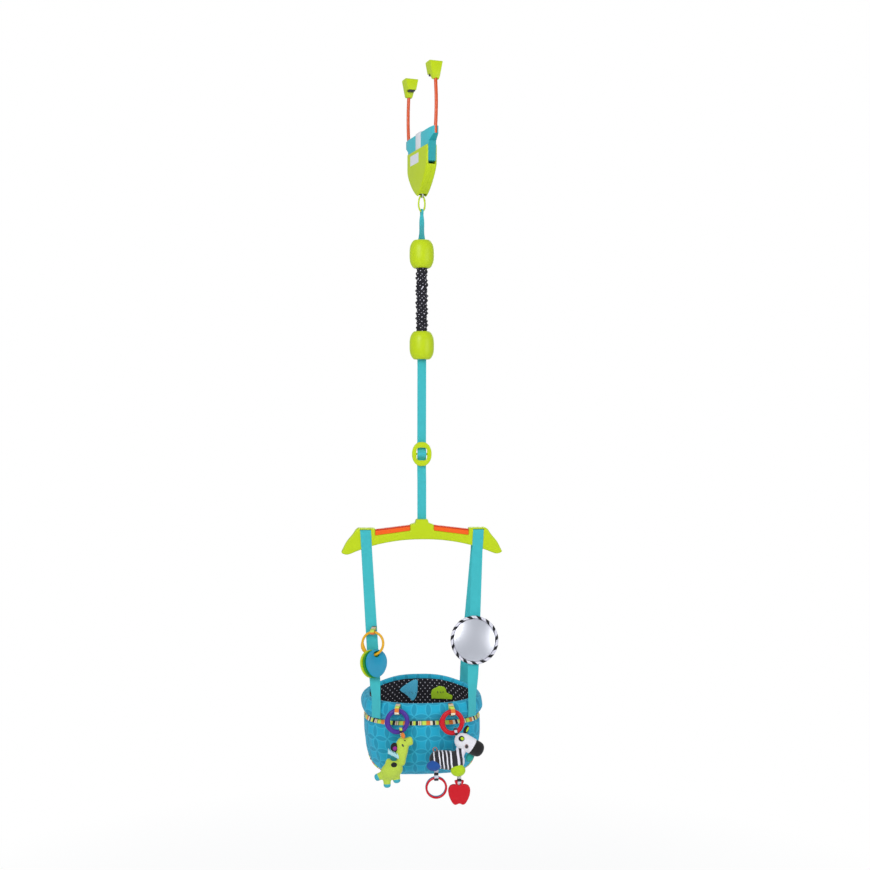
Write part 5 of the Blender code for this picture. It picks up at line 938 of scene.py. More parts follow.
def dressSleeve():
    # Gathered cloth: radius = R + fade x ruffle x three waves that drift round the tube, and never inside the spring
    top, bottom = level["upperCapBottom"] + sleeve["tuck"], level["lowerCapTop"] - sleeve["tuck"]
    t = np.linspace(0, 1, 260)[:, None]
    angle = fullTurn(96)
    fade = np.minimum(1, np.minimum(t, 1 - t) * 9)
    fold = (0.55 * np.sin(t * 92 + 1.9 * np.sin(angle + t * 9)) + 0.45 * np.sin(t * 31 + 3 * angle)
            + 0.14 * np.sin(t * 171 + 2.2 * np.sin(2 * angle - t * 14)))
    radius = np.maximum(sleeve["radius"] + fade * sleeve["ruffle"] * fold, sleeve["inner"] + sleeve["wall"])
    z = top + (bottom - top) * t + fade * 0.0007 * np.sin(3 * angle + t * 60)
    outer, inner = (inColumns(r * np.cos(angle), r * np.sin(angle), z) for r in (radius, radius - sleeve["wall"]))
    points = np.concatenate([outer, inner[::-1]])
    across = math.tau * sleeve["meanRadius"] * np.arange(97) / 96
    run = runLength(points[:, 0], True)
    piece = gridPiece("spring_sleeve_look", points, materials["gathered"], across, run, True, True)
    dressAcross(piece,
                "spring_sleeve")


def dressSafety():
    # A narrow loop round both pins, beside the folded webbing
    thick = web["safetyThickness"]
    radius = web["pin"] + thick / 2 + gap
    side = loopLine(level["upperPin"], radius, level["lowerPin"], radius, (thick + web["layerGap"]) / 2)
    across, z = evenPairs(side, 0.0015)[:-1].T
    rows = inColumns((web["pinFold"] + web["pinRoom"]) / 2, across, z, web["safetyWidth"] / 2, 0)
    piece = strapPiece("safety_strap_look", rows, thick, materials["whiteWebbing"], True)
    dressAcross(piece,
                "safety_strap")


buckle = dict(width=0.044, height=0.0545, windowWidth=0.0245, windowHeight=0.0285, thickness=0.008, bar=0.0026)


def dressHeightStrap():
    # The route: sewn round the lower pin, through the buckle, round the hub pin and back to the buckle's bar
    thick = web["thickness"]
    pitch = thick + web["layerGap"]
    neck = pitch / 2
    pin, behind, wrap = (solid + thick / 2 + gap for solid in (web["pin"], buckle["thickness"] / 2, buckle["bar"]))
    window, rim = buckle["windowHeight"] / 2, buckle["height"] / 2
    low, mid, hub = level["lowerPin"], level["buckle"], level["hubPin"]
    side = np.vstack([
        [(neck, low - 0.040), (neck, low - pin * 1.6)], arcLine((0, low), pin, -30, 210, 24),
        [(-neck, low - pin * 1.6), (-neck, low - 0.048), (behind * 0.8, mid + rim * 1.5), (behind, mid + rim * 1.1),
         (behind, mid + window * 0.82), (0, mid + window * 0.50), (-wrap - pitch * 0.9, mid + wrap * 0.6),
         (-wrap - pitch, mid), (-wrap - pitch * 0.9, mid - wrap * 0.6), (0, mid - window * 0.50),
         (behind, mid - window * 0.82), (behind, mid - rim * 1.1), (behind * 0.8, mid - rim * 1.5),
         (-neck, mid - rim * 2.2), (-neck, hub + pin * 1.6)],
        arcLine((0, hub), pin, 150, 390, 24),
        [(neck, hub + pin * 1.6), (neck, mid - rim * 2.2), (behind * 0.8 + pitch, mid - rim * 1.5),
         (behind + pitch, mid - rim * 1.1), (behind + pitch, mid - window * 0.85), (wrap * 1.15, mid - wrap * 0.6)],
        arcLine((0, mid), wrap, 20, 200, 16)])
    across, z = evenPairs(side, 0.0012, 2).T
    width, shift = foldAtPin(z, low)
    piece = strapPiece("height_strap_look", inColumns(shift, across, z, width / 2, 0), thick, materials["webbing"])
    dressAcross(piece, "height_strap")


def ovalLoop(halfWidth, halfHeight, power, steps=96):
    # x = a sgn(c)|c|^power, z = b sgn(s)|s|^power
    turn = fullTurn(steps)
    return inColumns(halfWidth * signedPower(np.cos(turn), power), halfHeight * signedPower(np.sin(turn), power))


def dressBuckle():
    # An oval frame with a squarer window and a round bar across it
    half, soft = buckle["thickness"] / 2, 0.0022
    window = ovalLoop(buckle["windowWidth"] / 2, buckle["windowHeight"] / 2, 0.5)
    rim = ovalLoop(buckle["width"] / 2, buckle["height"] / 2, 0.92)
    layers = ringLayers(window, 1.06, 0.0008, rim, half, soft, 7)

    def place(a, b, depth):
        return inColumns(a, depth, b + level["buckle"])
    piece = layeredPiece("adjuster_buckle_look", layers, place, materials["lime"], True)
    reach, z = (buckle["windowWidth"] + buckle["width"]) / 4, level["buckle"]
    combine(piece, [rodPiece("bar", (-reach, 0, z), (reach, 0, z), buckle["bar"], materials["lime"], 24)], "UNION")
    dress(piece, "adjuster", "lime_plastic", "adjuster_buckle")


dressHanger()
dressCaps()
dressSpring()
dressSleeve()
dressSafety()
dressHeightStrap()
dressBuckle()
print("bounce unit and webbing dressed")

# Spreader bar: shares of its half span and of its height, from the hub down to the ear and back under

bar = dict(halfSpan=0.1805, height=barHeight, depth=0.026, wall=0.0025, edge=0.0035, insertDepth=0.020,
           slotHalf=0.0104, slotDepth=0.005, strapHalf=0.0126, strapOffset=0.127, slotHeight=0.003,
           insertEnds=(0.147, 0.582), insertLows=(0.325, 0.46), insertTops=(0.172, 0.292))
barHub = [(0.069, 0.0), (0.078, 0.045), (0.083, 0.11), (0.147, 0.155), (0.147, 0.325)]
barShoulder = [(0.582, 0.46), (0.582, 0.262)]
barEar = [(0.60, 0.248), (0.79, 0.245), (0.822, 0.30), (0.862, 0.44), (0.936, 0.65), (0.985, 0.87), (1.0, 0.945),
          (0.965, 0.995), (0.91, 1.0), (0.80, 0.90), (0.70, 0.82), (0.61, 0.757), (0.50, 0.695), (0.38, 0.645),
          (0.25, 0.605), (0.12, 0.585), (0.0, 0.580)]


def barOutline():
    # Straight hub and shoulder steps, then one smooth curve round the ear and under the bar, all eased by 1:2:1
    def rows(shares):
        across, down = np.asarray(shares).T
        return inColumns(across * bar["halfSpan"], level["hubTop"] - down * bar["height"])
    ear = np.vstack([rows(barEar[:2]), smoothLine(rows(barEar[1:]), 10)[1:]])
    steps = np.vstack([rows([(0.0, 0.0)]), rows(barHub), rows(barShoulder)])
    half = evenPairs(np.vstack([steps, ear]), 0.0011, 3)
    left = half[1:-1][::-1] * (-1, 1)
    return np.vstack([half, left])[::-1]


def barCutter(x, half, depth, low, high):
    # A slot through the bar, half is half its width and depth half its depth
    return boxPiece("cutter", (x - half, -depth, low), (x + half, depth, high), materials["lime"])


def dressBarShells():
    # Two half shells with a slot for the long strap in the hub, and one for a side strap in each shoulder
    layers = shellLayers(barOutline(), bar["depth"], bar["wall"], bar["edge"])
    slot, high, hub = level["slot"], bar["slotHeight"] / 2, level["hubTop"]
    for sign, node in ((-1, "bar_front_shell"), (1, "bar_rear_shell")):
        def place(a, b, depth):
            return inColumns(a, sign * depth, b)
        piece = layeredPiece(node + "_look", layers, place, materials["lime"])
        cutters = [barCutter(0, bar["slotHalf"], bar["slotDepth"] / 2, hub - 0.0075, hub + 0.01)]
        cutters += [barCutter(side * bar["strapOffset"], bar["strapHalf"], 0.03, slot - high, slot + high)
                    for side in (-1, 1)]
        combine(piece, cutters)
        dress(piece, "bar", "lime_plastic", node)


def dressInserts():
    # A wedge along each half of the bar: its section, with eased upper edges, runs between two sloping lines
    deep = bar["insertDepth"] / 2
    ease, fall = np.linspace(0, 1.4, 8), np.linspace(0.2, 1.57, 8)
    front = np.concatenate([[(-deep, 0.0), (-deep, 0.5)],
                            inColumns(-deep + 0.0030 * np.sin(ease), 1 - 0.32 * (1 - np.sin(fall)))])
    section = np.concatenate([front, front[::-1] * (-1, 1)])
    t = np.linspace(0, 1, 60)[:, None]
    end, low, top = (start + (stop - start) * t for start, stop in (bar["insertEnds"], bar["insertLows"],
                                                                    bar["insertTops"]))
    low, top = level["hubTop"] - bar["height"] * low + gap, level["hubTop"] - bar["height"] * top
    for sign, side in ((-1, "left"), (1, "right")):
        x = sign * bar["halfSpan"] * end + sign * gap * (1 - 2 * t)
        points = inColumns(x, section[:, 0], low + (top - low) * section[:, 1])
        piece = gridPiece(f"bar_insert_{side}_look", points, materials["orange"])
        # Painted shade: faces that turn upwards get the darker orange
        paintFaces(piece, materials["shadedOrange"], faceNormals(piece)[:, 2] > 0.45)
        dress(piece, "bar", "orange_plastic", f"bar_insert_{side}")


dressBarShells()
dressInserts()
print("spreader bar dressed")

# Seat: plan x = a sgn(c)|c|^0.72, y = b sgn(s)|s|^0.72, moved back by its shift

planPower = 0.72
seat = dict(halfWidth=0.125, halfDepth=0.098, shift=0.006, backRise=0.018, frontDip=0.0042, rimHeight=0.041,
            bulge=0.0105, rimThickness=0.008, shellThickness=0.004, shellHeight=0.133, lining=0.0012,
            trimHeight=0.0085, trimThickness=0.0016, legRadius=0.043, legOffset=0.094, legOut=0.80, legDown=0.60,
            piping=0.0019)
shellShares = np.array([(0.0, 0.0), (0.10, -0.035), (0.30, -0.03), (0.52, 0.0), (0.70, 0.045), (0.85, 0.12),
                        (0.95, 0.26), (1.0, 0.46)])
planTurn = fullTurn(360)


def planPoints(turn, out, z, shift=0.0):
    # Points round the seat at a distance out of its plan, moved along the plan's own radius by shift
    x = (seat["halfWidth"] + out + shift) * signedPower(np.cos(turn), planPower)
    y = (seat["halfDepth"] + out + shift) * signedPower(np.sin(turn), planPower) + seat["shift"]
    return inColumns(x, y, z)


planLength = runLength(planPoints(planTurn, 0.0, 0.0), True)


def planDepth(x, out):
    # The plan's y at x: b (1 - |x / a|^(2 / 0.72))^(0.72 / 2)
    share = (np.abs(x) / (seat["halfWidth"] + out)) ** (1 / planPower)
    return (seat["halfDepth"] + out) * np.sqrt(np.maximum(1 - share * share, 0)) ** planPower


def rimRise(turn):
    # The collar rises to a peak at the back, rise x sin(t)^4, and sags between the front straps, dip x sin(t)^4
    front, back = np.maximum(-np.sin(turn), 0), np.maximum(np.sin(turn), 0)
    return seat["backRise"] * back ** 4 - seat["frontDip"] * front ** 4


def clothFold(turn, z):
    # Soft creases of the hanging shell: slow waves round it, none at the sewn top
    down = np.clip((level["shellTop"] - z) / seat["shellHeight"], 0, 1)
    waves = (0.9 * np.sin(5 * turn + 6 * down) + 0.55 * np.sin(11 * turn - 9 * down + 1.3)
             + 0.35 * np.sin(19 * turn + 14 * down + 0.4))
    return 0.0009 * waves * np.minimum(down * 5, 1)


def dressRim():
    # The padded collar: its CAD section smoothed, with gathers that fade away from its two seams
    turn = planTurn[:, None]
    top = level["rimTop"] + rimRise(turn)
    height = top - level["rimBottom"]
    wave = 1 + 0.10 * np.sin(9 * turn) * np.sin(turn / 2)
    bulge, thick = seat["bulge"], seat["rimThickness"]
    waving = np.array([0, bulge * 0.80, bulge, bulge * 0.75, 0, 0, 0, 0, 0])
    still = np.array([0, 0, 0, 0, bulge * 0.20, -thick * 0.45, -thick, -thick, -seat["shellThickness"]])
    lifts = np.array([0, 0.22, 0.50, 0.80, 0.97, 1.0, 0.88, 0.45, 0.0])
    smooth = smoothLoop(inColumns(waving * wave + still, level["rimBottom"] + height * lifts), 6)
    out, z = smooth[..., 0], np.maximum(smooth[..., 1], level["rimBottom"])
    share = (z - level["rimBottom"]) / height
    gather = np.sin(planTurn * 46 + 2 * np.sin(planTurn * 5))[:, None]
    near = np.exp(-(share / 0.20) ** 2) + 0.6 * np.exp(-((share - 1) / 0.16) ** 2)
    puff = 0.0007 * gather * near + 0.0006 * np.sin(7 * turn + 9 * share) * np.sin(math.pi * share)
    outside = np.clip(out / 0.004, 0, 1)
    points = planPoints(turn, out + puff * outside, z)
    along = np.broadcast_to(planLength[:, None], (361, smooth.shape[1] + 1))
    piece = gridPiece("seat_rim_look", points, materials["cotton"], runLength(smooth[270], True), along, True, True)
    dress(piece, "seat", "teal_cotton", "seat_rim")


def profileLine(shift):
    # The shell's side view as (draw in, z), moved into the bowl by shift
    down, draw = seat["shellHeight"] * shellShares.T
    line = smoothLine(inColumns(draw, level["shellTop"] - down), 8)
    ahead = pathAhead(line, False)
    normal = inColumns(-ahead[:, 1], ahead[:, 0])
    normal[0], normal[-1] = (1, 0), (0, 1)
    return line + normal * shift


def legAxis(sign):
    # The leg hole's centre, and its axis that points out and down
    centre = np.array([sign * seat["legOffset"], seat["shift"], level["legHole"]])
    return centre, np.array([sign * seat["legOut"], 0, -seat["legDown"]])


def legCutter(sign, radius):
    # A cylinder along the leg opening, from inside the bowl to well outside it
    centre, direction = legAxis(sign)
    reach = direction * seat["legRadius"] * 1.6
    return rodPiece("cutter", centre - reach * 0.55, centre + reach, radius, materials["cotton"], 96)


def bowlPiece(name, outer, inner, material):
    # The shell or the lining: rows up the outside and down the inside, all moved by the same creases
    profile = np.vstack([outer[::-1], inner])
    turn = planTurn[None, :]
    z = profile[:, 1][:, None] + 0 * turn
    lift = rimRise(turn) * np.clip((z - level["rimBottom"]) / seat["rimHeight"], 0, 1)
    points = planPoints(turn, -profile[:, 0][:, None], z + lift, clothFold(turn, z))
    steps = np.linalg.norm(np.diff(points, axis=0), axis=2)
    run = np.vstack([np.zeros((1, steps.shape[1])), np.cumsum(steps, axis=0)])
    return gridPiece(name, points, material, planLength, np.hstack([run, run[:, :1]]))


def legEdge(sign):
    # Where the leg hole's cylinder leaves the shell, found by halving 40 times for every angle at once
    centre, direction = legAxis(sign)
    turn = fullTurn(240)
    side = inColumns(sign * seat["legDown"] * np.cos(turn), np.sin(turn), seat["legOut"] * np.cos(turn))
    rim = centre + seat["legRadius"] * side
    line = profileLine(0.0)[::-1]

    def inShell(points):
        draw = np.interp(points[:, 2], line[:, 1], line[:, 0])
        a, b = seat["halfWidth"] - draw, seat["halfDepth"] - draw
        x, y = points[:, 0] / a, (points[:, 1] - seat["shift"]) / b
        plan = np.abs(x) ** (2 / planPower) + np.abs(y) ** (2 / planPower)
        return (plan < 1) & (points[:, 2] > level["shellBottom"])
    low, high = (np.full(len(turn), seat["legRadius"] * share) for share in (-0.88, 1.6))
    starts = inShell(rim + low[:, None] * direction)
    for _ in range(40):
        middle = (low + high) / 2
        within = inShell(rim + middle[:, None] * direction)
        low, high = np.where(within, middle, low), np.where(within, high, middle)
    path = (rim + low[:, None] * direction)[starts]
    return path if starts.all() else np.roll(path, -int(np.argmin(starts)), 0)


def liningLine(extra):
    # Straight down inside the rim, then at a clearance inside the shell
    topZ, lowZ = level["rimTop"] - seat["rimHeight"] * 0.15, level["shellTop"] - seat["shellHeight"] * 0.02
    straight = inColumns(seat["rimThickness"] + gap + extra, np.linspace(topZ, lowZ, 8))
    return np.vstack([straight, profileLine(seat["shellThickness"] + gap + extra)[14:]])


def dressShell():
    # The shell, its lining and the piping of their leg holes
    shell = bowlPiece("seat_shell_look", profileLine(0.0), profileLine(seat["shellThickness"]), materials["cotton"])
    lining = bowlPiece("seat_lining_look", liningLine(0.0), liningLine(seat["lining"]), materials["lining"])
    for piece, extra, node, slotName in ((shell, 0.0, "seat_shell", "teal_cotton"),
                                         (lining, 0.0006, "seat_lining", "dotted_cotton")):
        combine(piece, [legCutter(sign, seat["legRadius"] + extra) for sign in (-1, 1)])
        dress(piece, "seat", slotName, node)
    for sign, side in ((-1, "left"), (1, "right")):
        piece = tubePiece(f"leg_piping_{side}", legEdge(sign), seat["piping"], materials["ribbon"], 12, True,
                          legAxis(sign)[1])
        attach(piece, "seat")


def dressTrim():
    # The ribbon sewn along the seam between rim and shell: a flat oval section that follows the shell's slope
    slope = shellShares[1][1] / shellShares[1][0]
    turn = fullTurn(20)
    a, b = signedPower(np.cos(turn), 0.7), signedPower(np.sin(turn), 0.35)
    z = level["shellTop"] - gap - seat["trimHeight"] / 2 * (1 - b)
    out = 1.1 * gap - (level["shellTop"] - z) * slope + seat["trimThickness"] / 2 * (1 + a)
    points = planPoints(planTurn[:, None], out[None, :], z[None, :])
    piece = gridPiece("trim_band_look", points, materials["ribbon"], None, planLength, True, True)
    dress(piece, "seat", "striped_ribbon", "trim_band")


# Leaves: outlines as shares of width and height, then stitches as (across, up, half their length)
leaf = dict(width=0.048, height=0.0384, thickness=0.0030, edge=0.0014, drop=0.024)
leafBlue = [(-0.42, 0.22), (-0.32, 0.36), (-0.12, 0.53), (0.16, 0.74), (0.38, 0.84), (0.47, 0.72), (0.46, 0.42),
            (0.45, 0.10), (0.38, -0.22), (0.27, -0.44), (0.17, -0.46), (0.02, -0.24), (-0.18, -0.02), (-0.34, 0.10)]
leafGreen = [(-0.48, -0.36), (-0.52, -0.05), (-0.46, 0.20), (-0.30, 0.30), (-0.12, 0.42), (0.12, 0.38), (0.22, 0.22),
             (0.22, 0.04), (0.52, -0.12), (0.50, -0.36)]
stitches = dict(leaf_blue=[(0.20, 0.55, 0.0008), (0.02, 0.38, 0.0008), (0.34, 0.30, 0.0008), (0.16, 0.18, 0.0008),
                           (-0.16, 0.16, 0.0008), (0.24, -0.06, 0.0008)],
                leaf_green=[(-0.34, 0.02, 0.0026), (-0.20, 0.16, 0.0026), (-0.06, 0.26, 0.0022),
                            (0.06, 0.12, 0.0020)])


def dressLeaves():
    # Each leaf is a flat pillow on the lining's back: its outline eased, then its rim rounded over its thickness.
    # A stitch's height goes in as its depth, so the stitches stand in a row off the leaf's face
    wide, high = leaf["width"], leaf["height"]
    inward = -(seat["rimThickness"] + seat["lining"] + gap * 2)
    for name, shares, x, key, slotName in (("leaf_blue", leafBlue, -0.025, "blueTerry", "blue_terry"),
                                           ("leaf_green", leafGreen, 0.0525, "greenTerry", "green_terry")):
        outline = evenPairs(np.array(shares + shares[:1]) * (wide, high), 0.0008, 5)[:-1][::-1]

        def place(a, b, depth):
            y = planDepth(a + x, inward) + seat["shift"] - gap * 1.5 - depth
            return inColumns(a + x, y, b + level["rimTop"] - leaf["drop"])
        layers = roundedLayers(outline, 0.0, leaf["thickness"], leaf["edge"])
        piece = layeredPiece(name + "_look", layers, place, materials[key])
        dress(piece, "seat", slotName, name)
        for i, (a, b, tall) in enumerate(stitches[name]):
            knot = ballPiece(f"{name}_stitch_{i + 1}", place(a * wide, leaf["thickness"], b * high),
                             (0.0008, 0.0005, tall), materials["rubber"], 8.0, 8, 12)
            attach(knot, "seat")


side = dict(width=0.024, offset=0.127, seatOffset=0.105, frontDraw=0.0014, rearDraw=0.0005)


def wallAngle(x):
    # The rim's direction in plan at x, over a strap's width
    step = side["width"] / 2
    return math.atan2(planDepth(x - step, seat["bulge"]) - planDepth(x + step, seat["bulge"]), 2 * step)


def strapOffset(z):
    # A side strap's x: evenly inwards from the shoulder to the rim
    share = np.clip((level["shoulder"] - z) / strapRun, 0, 1)
    return side["offset"] + (side["seatOffset"] - side["offset"]) * share


def strapTurn(z):
    # It turns to the rim's direction over its last fifth, as t^2 (3 - 2 t)
    t = np.clip(((level["shoulder"] - z) / strapRun - 0.80) / 0.20, 0, 1)
    return wallAngle(side["seatOffset"]) * t * t * (3 - 2 * t)


def seatShift(z):
    # The seat's shift to the back, reached evenly between the bar and the rim
    low = level["hubTop"] - bar["height"]
    return seat["shift"] * np.clip((low - z) / (low - level["rimTop"]), 0, 1)


def strapSideView(draw):
    # Distance out of the bar's middle and height, from the shoulder slot down to the end sewn on the rim
    face = bar["depth"] / 2 + web["thickness"] / 2 + gap
    barLow = level["hubTop"] - bar["height"] * 0.90 - web["thickness"] * 2
    lift = (web["thickness"] / 2 + 2 * gap) / math.cos(wallAngle(side["seatOffset"]))
    outs = [planDepth(side["seatOffset"], seat["bulge"] * share) + lift - draw for share in (1.06, 1.06, 0.91)]
    levels = [level["rimTop"] + 0.00205, level["rimBottom"] + 0.0205, level["rimBottom"] + 0.0041]
    top = level["slot"] - web["thickness"] * 1.5
    return np.vstack([[(face, top), (face, barLow)], inColumns(outs, levels)])


def frontDepth(z):
    # The y of the front layer at a height
    view = strapSideView(side["frontDraw"])
    return seatShift(z) - np.interp(-z, -view[:, 1], view[:, 0])


def dressSideStraps():
    # Each runs up behind the bar, through its shoulder and down in front, with both ends sewn on the rim
    rear, front = strapSideView(side["rearDraw"]), strapSideView(side["frontDraw"])
    crest = [(bar["depth"] / 2 + web["thickness"] * 0.1, level["slot"])]
    for sign, name in ((-1, "side_strap_left"), (1, "side_strap_right")):
        halves = []
        for layer, view in ((1, np.vstack([crest, rear])[::-1]), (-1, np.vstack([crest, front]))):
            out, z = evenPairs(view, 0.0015, 6).T
            halves.append(inColumns(sign * strapOffset(z), seatShift(z) + layer * out, z, side["width"] / 2,
                                    -sign * layer * strapTurn(z)))
        rows = resample(np.vstack(halves), 0.0018)
        piece = strapPiece(name + "_look", rows, web["thickness"], materials["webbing"])
        dressAcross(piece,
                    name)


dressRim()
dressShell()
dressTrim()
dressLeaves()
dressSideStraps()
print("seat dressed")


# Mirror, link and plates on the side straps

def strapFrame(sign, z):
    # On a side strap's front layer: X across it, -Z down along it
    step = side["width"]
    lean = math.atan2(frontDepth(z - step) - frontDepth(z + step), 2 * step)
    place = Vector((sign * strapOffset(z), frontDepth(z), z))
    return Matrix.Translation(place) @ Matrix.Rotation(lean, 4, "X")


def inFrame(matrix, points):
    # Points of a local frame in the part's own
    return points @ np.array(matrix.to_3x3()).T + np.array(matrix.translation)


mirror = dict(radius=0.053, drop=strapRun * 0.662, rim=0.0030, face=0.0016, loopHeight=0.045, slack=0.0008)


def dressMirrorCover(matrix, ring, turn):
    # A roll of cloth puckered 30 times round the rim, with dashes along it. It returns the depth of its inner edge
    back = -(web["thickness"] / 2 + 0.0022)
    angle = np.radians(np.linspace(90, -215, 34))
    pucker = 1 + 0.07 * np.sin(turn * 30)[:, None] * np.abs(np.sin(angle)) ** 0.5
    radius = ring + mirror["rim"] * np.cos(angle) * pucker
    depth = back - mirror["rim"] + mirror["rim"] * np.sin(angle) * pucker
    points = inColumns(radius * np.cos(turn)[:, None], depth, radius * np.sin(turn)[:, None])
    points = np.swapaxes(points, 0, 1)
    run = runLength(mirror["rim"] * inColumns(np.cos(angle), np.sin(angle)), False)
    across = np.broadcast_to(run[:, None], (34, 225))
    along = np.broadcast_to(ring * math.tau * np.arange(225) / 224, (34, 225))
    piece = gridPiece("mirror_cover_look", inFrame(matrix, points), materials["cover"], across, along)
    dress(piece, "mirror", "striped_ribbon", "mirror_cover")
    return depth[:, -1].mean()


def dressMirrorFace(matrix, radius, panel, turn):
    # The film face, a disc whose edge is eased in two steps
    layers = (radius, 0.0), (radius, 0.0006), (radius - 0.0004, 0.0012), (radius - 0.0012, mirror["face"])
    points = np.stack([inColumns(r * np.cos(turn), panel - d, r * np.sin(turn)) for r, d in layers])
    piece = gridPiece("mirror_face_look", inFrame(matrix, points), materials["film"])
    dress(piece, "mirror", "mirror_film", "mirror_face")


def dressMirrorLoop(matrix):
    # The webbing loop behind it, which slides along the strap
    thin = 0.0005
    a, b = side["width"] / 2 + mirror["slack"] + thin, web["thickness"] / 2 + 2 * gap + thin
    ringLine = resample([(a, -b, 0), (a, b, 0), (-a, b, 0), (-a, -b, 0), (a, -b, 0)], 0.0006, 2)[:-1]
    normal = pathAhead(ringLine, True) @ np.array([[0, -1, 0], [1, 0, 0], [0, 0, 1]])
    half = mirror["loopHeight"] / 2
    points = np.stack([ringLine + normal * out * thin + (0, 0, up * half)
                       for out, up in ((-1, -1), (-1, 1), (1, 1), (1, -1))])
    piece = gridPiece("mirror_loop_look", inFrame(matrix, points), materials["webbing"], None, None, True, True)
    dress(piece, "mirror", "teal_webbing", "mirror_loop")


def dressMirror():
    # On the right strap's front layer, leaning inwards as the strap does
    inward = math.atan2(side["offset"] - side["seatOffset"], strapRun)
    matrix = strapFrame(1, level["shoulder"] - mirror["drop"]) @ Matrix.Rotation(inward, 4, "Y")
    ring, turn = mirror["radius"] - mirror["rim"], fullTurn(224)
    edge = dressMirrorCover(matrix, ring, turn)
    dressMirrorFace(matrix, ring - mirror["rim"] - 2 * gap, edge - gap, turn)
    dressMirrorLoop(matrix)


def ribbonRows(sewn, wire, wireRadius, width, thickness, turnDeg=0.0):
    # A ribbon loop's rows: folded tight where it is sewn, open round a wire at its other end
    turn = math.radians(turnDeg)
    back = (sewn[1] - wire[1]) / math.cos(turn)
    rise = sewn[2] - wire[2]
    toward = math.degrees(math.atan2(rise, back))
    line = np.vstack([arcLine((back, rise), thickness / 2 + web["layerGap"], toward - 90, toward + 90, 8),
                      arcLine((0, 0), wireRadius, toward + 90, toward + 270, 24)])
    out, up = evenPairs(np.vstack([line, line[:1]]), 0.0008)[:-1].T
    share = np.clip((out * back + up * rise) / math.hypot(back, rise) ** 2, 0, 1)
    x = (sewn[0] - wire[0]) * share
    return inColumns(wire[0] + x * math.cos(turn) - out * math.sin(turn),
                     wire[1] + x * math.sin(turn) + out * math.cos(turn), wire[2] + up, width / 2, turn)


def linkPiece(name, centre, radius, wire, clasp, turnDeg, claspDeg, tall, material, grooves=0):
    # A toy link: round wire that swells at its clasp, with a fine groove where the clasp closes
    angle = fullTurn(160)
    away = np.abs((np.degrees(angle) - claspDeg + 180) % 360 - 180)
    size = wire + (clasp - wire) * np.clip(1 - away / 32, 0, 1) ** 0.7
    size = size * (1 - 0.16 * np.exp(-(away / 1.6) ** 2))
    if grooves:
        size = size * (1 - 0.05 * np.maximum(np.sin(angle * grooves), 0) ** 6)
    turn = math.radians(turnDeg)
    x = radius * np.cos(angle)
    path = inColumns(x * math.cos(turn), x * math.sin(turn), radius * tall * np.sin(angle)) + np.asarray(centre)
    return tubePiece(name, path, size, material, 20, True, (-math.sin(turn), math.cos(turn), 0.0))


link = dict(radius=0.0245, wire=0.0027, clasp=0.0048, drop=strapRun * 0.6081, turnDeg=-24.0, standoff=0.0135,
            tabWidth=0.0100, tabThickness=0.0010)
plate = dict(width=0.050, height=0.060, thickness=0.0032, edge=0.0011, holeRadius=0.0069, holeDrop=0.0105,
             spacing=0.0068, turnDeg=22.0)


def dressLink():
    # Made in the strap's frame: a ribbon tab and the link turned about Z
    matrix = strapFrame(-1, level["shoulder"] - link["drop"] - link["radius"])
    centre = np.array([0.0, -link["standoff"], 0.0])
    wire = centre + (0, 0, link["radius"])
    turned = math.sin(math.radians(abs(link["turnDeg"]))) * link["tabWidth"] / 2
    sewn = (0.0, -(web["thickness"] / 2 + link["tabThickness"] + web["layerGap"] + 2 * gap + turned),
            wire[2] + link["tabWidth"] * 1.2)
    rows = ribbonRows(sewn, wire, link["wire"] + link["tabThickness"] / 2 + 0.0018, link["tabWidth"],
                      link["tabThickness"], link["turnDeg"])
    tab = strapPiece("link_tab_look", rows, link["tabThickness"], materials["ribbon"], True)
    ring = linkPiece("yellow_link_look", centre, link["radius"], link["wire"], link["clasp"], link["turnDeg"],
                     205, 1.0, materials["yellow"])
    for piece, body, slotName, node in ((tab, "seat", "striped_ribbon", "link_tab"),
                                        (ring, "link", "yellow_plastic", "yellow_link")):
        piece.data.transform(matrix)
        dress(piece, body, slotName, node)
    dressPlates(matrix, centre)


def dressPlates(matrix, centre):
    # Three egg-shaped plates fanned on the link
    turn = fullTurn(120)
    c, s = np.cos(turn), np.sin(turn)
    drop = plate["height"] / 2 - plate["holeDrop"]
    rim = inColumns(plate["width"] / 2 * (1 + 0.10 * s) * c, plate["height"] / 2 * s - drop)
    spin = Matrix.Rotation(math.radians(link["turnDeg"]), 3, "Z")
    turned = Matrix.Rotation(math.radians(plate["turnDeg"]), 3, "Z")
    for index, (node, key, slotName, body, holeShare) in enumerate((
            ("plate_front", "blue", "blue_plastic", "front_plate", 0.97),
            ("plate_middle", "green", "green_plastic", "middle_plate", 0.86),
            ("plate_rear", "lime", "lime_plastic", "rear_plate", 0.91))):
        angle = math.radians(-86) + (1 - index) * plate["spacing"] / link["radius"]
        hole = centre + np.array(spin @ Vector((math.cos(angle), 0, math.sin(angle)))) * link["radius"]
        bore = plate["holeRadius"] * holeShare
        layers = ringLayers(bore * inColumns(c, s), 1.08, 0.0004, rim, plate["thickness"] / 2, plate["edge"], 5)

        def place(a, b, depth):
            return inColumns(a, depth, b) @ np.array(turned).T + hole
        piece = layeredPiece(node + "_look", layers, place, materials[key], True)
        piece.data.transform(matrix)
        dress(piece, body, slotName, node)


dressMirror()
dressLink()
print("mirror, link and plates dressed")

# Toys on the front

toyRing = dict(radius=0.0215, wire=0.0050, clasp=0.0064, standoff=0.0034, tall=1.07, hangDeg=-70.0,
               ribbonWidth=0.0060, ribbonRoom=0.0038, tabWidth=0.0095, tabRoom=0.0041)


def ringCentre(x, drop):
    # A toy ring stands off the rim's bulge at x, and drops below the rim's top
    wall = planDepth(x, seat["bulge"] * 1.1)
    return np.array([x, -wall + seat["shift"] - toyRing["clasp"] - toyRing["standoff"], level["rimTop"] - drop])


